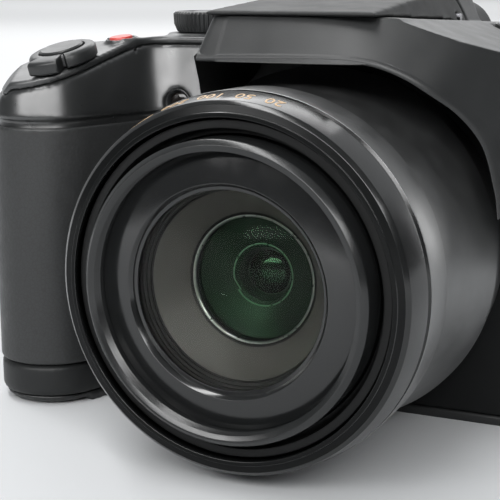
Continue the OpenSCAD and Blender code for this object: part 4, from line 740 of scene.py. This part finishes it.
DIAL_AT = Vector((-38, -7, 85.5))
DIAL_TOP = 4.97
knob = polar("dial_knob", DIAL_AT, UPRIGHT, [
    (0.001, 0.15, 0), (9.6, 0.15, 0), (9.9, 0.4, 0.4), (10.5, 2.2, 1), (10.65, 4.6, 1), (10.35, 5.05, 0.5),
    (9.7, 5.25, 0), (8.9, 5.2, 0), (8.7, 4.95, 0), (6.3, 4.95, 0), (6.1, 5.15, 0), (5.6, 5.25, 0),
    (0.001, 5.2, 0)],
    480, knurl(60, 0.35))
piece("dial_knob", knob, "control", body_of["mode_dial"], ("mode_dial",), sharp=30)

MOVIE_TILT = ((0.998, 0, 0.058), (-0.008, 0.991, 0.132), (-0.058, -0.132, 0.9895))
MOVIE_AT = (-53.8, -27, 84.5)
cap = polar("movie_cap", MOVIE_AT, MOVIE_TILT, [
    (0.001, -3.2, 0), (1.4, -3.2, 0), (1.4, -1.6, 0), (2.75, -1.6, 0), (2.75, 0.35, 0), (2.55, 0.62, 0),
    (2.1, 0.7, 0), (1.5, 0.58, 0), (0.001, 0.5, 0)], 96)
piece("movie_cap", cap, "movie_red", body_of["movie_button"], ("movie_button",), sharp=40)

FACING = ((1, 0, 0), (0, 0, 1), (0, -1, 0))
LAMP_AT = (-42, -21, 69.4)
dish = polar("lamp_dish", LAMP_AT, FACING, [
    (3.3, 0.15, 0), (3.1, 0.3, 0), (2.9, 0.2, 0), (2.4, -0.5, 0), (2.4, -2.2, 0), (3.3, -2.2, 0)], 96)
piece("lamp_dish", dish, "control", body_of["af_lamp"], sharp=40)
window = polar("lamp_window", LAMP_AT, FACING, [
    (0.001, -0.1, 0), (0.9, -0.15, 0), (1.8, -0.3, 0), (2.35, -0.6, 0), (2.35, -2.0, 0), (0.001, -2.0, 0)],
    96)
piece("lamp_window", window, "lamp", body_of["af_lamp"], ("af_lamp",), sharp=40)


def taken(curve):
    """The filled mesh of a curve or of plain numerals, its points joined."""
    obj = bpy.data.objects.new(curve.name, curve)
    scene.collection.objects.link(obj)
    bpy.context.view_layer.update()
    view = bpy.context.evaluated_depsgraph_get()
    mesh = bpy.data.meshes.new_from_object(obj.evaluated_get(view))
    bpy.data.objects.remove(obj)
    bm = bmesh.new()
    bm.from_mesh(mesh)
    bmesh.ops.remove_doubles(bm, verts=bm.verts, dist=1e-5)
    bm.to_mesh(mesh)
    bm.free()
    return mesh


def flat_shape(name, loops, height):
    """A thin plate from closed outlines; an outline inside another is a hole."""
    curve = bpy.data.curves.new(name, "CURVE")
    curve.dimensions = "2D"
    curve.fill_mode = "BOTH"
    curve.extrude = height / 2
    for loop in loops:
        line = curve.splines.new("POLY")
        line.points.add(len(loop) - 1)
        line.use_cyclic_u = True
        for point, (u, v) in zip(line.points, loop):
            point.co = (u, v, 0, 1)
    return taken(curve)


def numerals(name, text, size, height):
    curve = bpy.data.curves.new(name, "FONT")
    curve.body = text
    curve.size = size
    curve.align_x = "CENTER"
    curve.align_y = "CENTER"
    curve.extrude = height / 2
    curve.resolution_u = 3
    return taken(curve)


def placed(mesh, at, across, up):
    """Lays a flat mesh, in millimetres, on a plane."""
    across = Vector(across).normalized()
    up = (Vector(up) - across * across.dot(Vector(up))).normalized()
    out = across.cross(up)
    for v in mesh.vertices:
        v.co = (Vector(at) + across * v.co.x + up * v.co.y + out * v.co.z) * MM
    mesh.update()
    return mesh


def landing(node, at, along):
    """Where a line meets a CAD node, and the way its surface faces there."""
    data = nodes[node].data
    tree = BVHTree.FromPolygons([v.co for v in data.vertices], [p.vertices for p in data.polygons])
    place, normal = tree.ray_cast(Vector(at) * MM, Vector(along))[:2]
    return place / MM, normal


def circle(radius, count=28):
    turns = [2 * math.pi * k / count for k in range(count)]
    return [(radius * math.cos(a), radius * math.sin(a)) for a in turns]


def bar(u, v, width, height):
    return [(u - width / 2, v - height / 2), (u + width / 2, v - height / 2), (u + width / 2, v + height / 2),
            (u - width / 2, v + height / 2)]


# Thickness of a printed sign
PRINT = 0.06

# Plain numerals round the ring, read from behind the camera
cone_start = (LIP_R + 3.15, TRIM_Y + 1.4)
cone_rise = (TRIM_R - 0.1 - cone_start[0]) / (TRIM_Y + 7.6 - cone_start[1])
for text, angle in (("20", 77), ("50", 86.5), ("100", 97.5), ("200", 110), ("400", 122.5)):
    mesh = numerals("ring_" + text, text, 3.8, 0.05)
    for v in mesh.vertices:
        u, w, t = v.co
        y = TRIM_Y + 4.4 - w
        r = cone_start[0] + cone_rise * (y - cone_start[1]) + t + 0.02
        a = math.radians(angle) + u / r
        v.co = Vector((r * math.cos(a), y, AXIS_H + r * math.sin(a))) * MM
    mesh.update()
    piece("ring_mark_" + text, mesh, "mark_gold", body_of["trim_ring"], sharp=30)

for k in range(8):
    a = math.radians(90 - 45 * k)
    out = Vector((math.cos(a), math.sin(a), 0))
    at = DIAL_AT + Vector((0, 0, DIAL_TOP)) + out * 7.5
    mark = placed(numerals("dial_mark", str(k + 1), 2.0, PRINT), at, (math.sin(a), -math.cos(a), 0), out)
    piece("dial_mark_%d" % (k + 1), mark, "mark_white", body_of["mode_dial"], sharp=30)
spot, _ = landing("top_cover", (-50.6, -7, 95), (0, 0, -1))
index = placed(flat_shape("dial_index", [bar(0, 0, 1.6, 0.4)], PRINT), spot + Vector((0, 0, 0.12)),
               (1, 0, 0), (0, 1, 0))
piece("dial_index", index, "mark_white", "camera_body", sharp=30)


def rear_mark(button, loops, du=0.0, dv=0.0):
    """A printed sign on a rear button's outer face."""
    lo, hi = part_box(button)
    at = Vector(((lo.x + hi.x) / 2 / MM - du, hi.y / MM + 0.01, (lo.z + hi.z) / 2 / MM + dv))
    mark = placed(flat_shape(button + "_sign", loops, PRINT), at, (-1, 0, 0), (0, 0, 1))
    piece(button + "_sign", mark, "mark_white", body_of[button], sharp=30)


def arrow(turn):
    a = math.radians(turn)
    return [[(u * math.cos(a) - v * math.sin(a), u * math.sin(a) + v * math.cos(a))
             for u, v in ((0.75, 0), (-0.45, 0.75), (-0.45, -0.75))]]


rear_mark("play_button", [[(-1.0, -1.3), (1.4, 0), (-1.0, 1.3)]])
rear_mark("menu_button", [bar(0, v, 3.2, 0.45) for v in (-1.1, 0, 1.1)])
rear_mark("lock_button", [circle(1.6), circle(1.15)[::-1]])
rear_mark("viewfinder_button", [bar(0, 0, 3.2, 2.2), bar(0, 0, 2.4, 1.4)[::-1]])
rear_mark("cursor_up", arrow(90), 0, 1.0)
rear_mark("cursor_down", arrow(-90), 0, -1.0)
rear_mark("cursor_left", arrow(0), 1.0, 0)
rear_mark("cursor_right", arrow(180), -1.0, 0)
spot, facing = landing("flash_button", (30, 3, 99), (0, 0, -1))
bolt = [(0.3, 1.7), (-0.9, -0.2), (-0.1, -0.2), (-0.4, -1.7), (0.9, 0.3), (0.1, 0.3)]
across = Vector((0, 1, 0)).cross(facing)
sign = placed(flat_shape("flash_sign", [bolt], PRINT), spot + facing * 0.03, across, (0, 1, 0))
piece("flash_button_sign", sign, "mark_white", body_of["flash_button"], sharp=30)

# Case screws with cross recesses
CROSS = [(0.9, 0.2), (0.2, 0.2), (0.2, 0.9), (-0.2, 0.9), (-0.2, 0.2), (-0.9, 0.2),
         (-0.9, -0.2), (-0.2, -0.2), (-0.2, -0.9), (0.2, -0.9), (0.2, -0.2), (0.9, -0.2)]


def screw(number, at, across, up):
    head = placed(flat_shape("head", [circle(1.5), CROSS], 0.4), at, across, up)
    out = Vector(across).cross(Vector(up))
    seat = placed(flat_shape("seat", [circle(1.46)], 0.2), Vector(at) - out * 0.3, across, up)
    piece("case_screw_%d" % number, joined(head, seat), "dark_metal", "camera_body", sharp=30)


count = 0
for x, y in ((-46, -14), (-46, 13), (43, -14), (43, 13)):
    count += 1
    screw(count, (x, y, 0.12), (1, 0, 0), (0, -1, 0))
for side in (1, -1):
    for z in (11, 53):
        spot, _ = landing("rear_cover", (side * 95, 6, z), (-side, 0, 0))
        count += 1
        screw(count, spot - Vector((side * 0.1, 0, 0)), (0, side, 0), (0, 0, 1))

# Remaining nodes keep their shape
FINISH = {
    "monitor_glass": "screen",
    "front_lens": "front_glass",
    "flash_window": "flash_glass",
    "flash_hinge_pin": "dark_metal",
}
replaced = {n for o in scene.objects for n in o.get("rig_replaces", [])}
for n, obj in nodes.items():
    if n in replaced:
        continue
    obj.data.materials.clear()
    obj.data.materials.append(MATS[FINISH.get(n, slot_of[n])])
    obj.data.shade_smooth()
    obj.data.set_sharp_from_angle(angle=math.radians(30))


# Floor, light and camera

def floor_material():
    m = Nodes("floor")
    reach = m.add("ShaderNodeVectorMath", operation="LENGTH")
    m.link(m.place, reach.inputs[0])
    colour = m.ramp(reach.outputs["Value"], (0.54, 0.55, 0.56), (0.86, 0.865, 0.87), (0.25, 0.9))
    m.principled(Base_Color=colour, Roughness=0.9, Specular_IOR_Level=0.1,
                 Normal=m.bump(m.noise(900, 2), 0.00002))
    return m.mat


floor_mesh = bpy.data.meshes.new("floor")
bm = bmesh.new()
bmesh.ops.create_grid(bm, x_segments=4, y_segments=4, size=30)
bm.to_mesh(floor_mesh)
bm.free()
floor = bpy.data.objects.new("floor", floor_mesh)
floor_mesh.materials.append(floor_material())
scene.collection.objects.link(floor)

world = bpy.data.worlds.new("studio")
scene.world = world
world.use_nodes = True
tree = world.node_tree
tree.nodes.clear()


def step_up(value, low, high, to):
    """Rises smoothly from 0 to a height as the value passes from low to high."""
    n = tree.nodes.new("ShaderNodeMapRange")
    n.interpolation_type = "SMOOTHSTEP"
    n.inputs["From Min"].default_value = low
    n.inputs["From Max"].default_value = high
    n.inputs["To Min"].default_value = 0.0
    n.inputs["To Max"].default_value = to
    tree.links.new(value, n.inputs["Value"])
    return n.outputs["Result"]


def joined_value(operation, a, b):
    n = tree.nodes.new("ShaderNodeMath")
    n.operation = operation
    for socket, value in zip(n.inputs, (a, b)):
        if hasattr(value, "is_output"):
            tree.links.new(value, socket)
        else:
            socket.default_value = value
    return n.outputs[0]


# A dim room with a pale wall behind the object and a dark side on its right
out = tree.nodes.new("ShaderNodeOutputWorld")
lit = tree.nodes.new("ShaderNodeBackground")
lit.inputs["Color"].default_value = (0.96, 0.98, 1.0, 1)
toward = tree.nodes.new("ShaderNodeTexCoord").outputs["Generated"]
split = tree.nodes.new("ShaderNodeSeparateXYZ")
tree.links.new(toward, split.inputs["Vector"])
back_wall = step_up(split.outputs["Y"], -0.25, 0.65, 0.65)
ceiling = step_up(split.outputs["Z"], 0.05, 0.6, 0.10)
right = tree.nodes.new("ShaderNodeVectorMath")
right.operation = "DOT_PRODUCT"
right.inputs[1].default_value = (0.966, 0.259, 0)
tree.links.new(toward, right.inputs[0])
dark_side = step_up(right.outputs["Value"], 0.70, 0.86, 0.62)
level = joined_value("ADD", joined_value("ADD", back_wall, ceiling), 0.10)
level = joined_value("MAXIMUM", joined_value("SUBTRACT", level, dark_side), 0.05)
tree.links.new(level, lit.inputs["Strength"])
tree.links.new(lit.outputs[0], out.inputs["Surface"])


def area(name, at, target, size, power):
    light = bpy.data.lights.new(name, "AREA")
    light.shape = "RECTANGLE"
    light.size, light.size_y = size
    light.energy = power
    obj = bpy.data.objects.new(name, light)
    obj.location = at
    obj.visible_camera = False
    obj.rotation_euler = (Vector(target) - Vector(at)).to_track_quat("-Z", "Y").to_euler()
    scene.collection.objects.link(obj)


area("top_strip", (-0.22, -0.24, 1.0), (0, -0.05, 0.05), (1.3, 0.13), 7.5)
area("front_box", (0.18, -1.00, 0.68), (0, -0.09, 0), (2.1, 0.36), 21)
area("back_panel", (-0.8, 1.7, 1.35), (-0.7, 1.4, 0), (2.0, 1.2), 15)
area("far_panel", (-2.4, 4.6, 2.4), (-2.4, 4.6, 0), (5.0, 4.0), 62)
area("side_strip", (0.476, 0.845, 0.15), (0.036, -0.055, 0.045), (0.20, 0.28), 0.7)

eye = bpy.data.cameras.new("photo_view")
eye.sensor_width = 36
eye.lens = 93.6
eye.clip_start = 0.01
eye.clip_end = 100
cam = bpy.data.objects.new("photo_view", eye)
cam.location = (0.10463, -0.29644, 0.09786)
target = Vector((0.006626, -0.085, 0.04963))
cam.rotation_euler = (target - cam.location).to_track_quat("-Z", "Y").to_euler()
scene.collection.objects.link(cam)
scene.camera = cam
scene.view_settings.view_transform = "Standard"
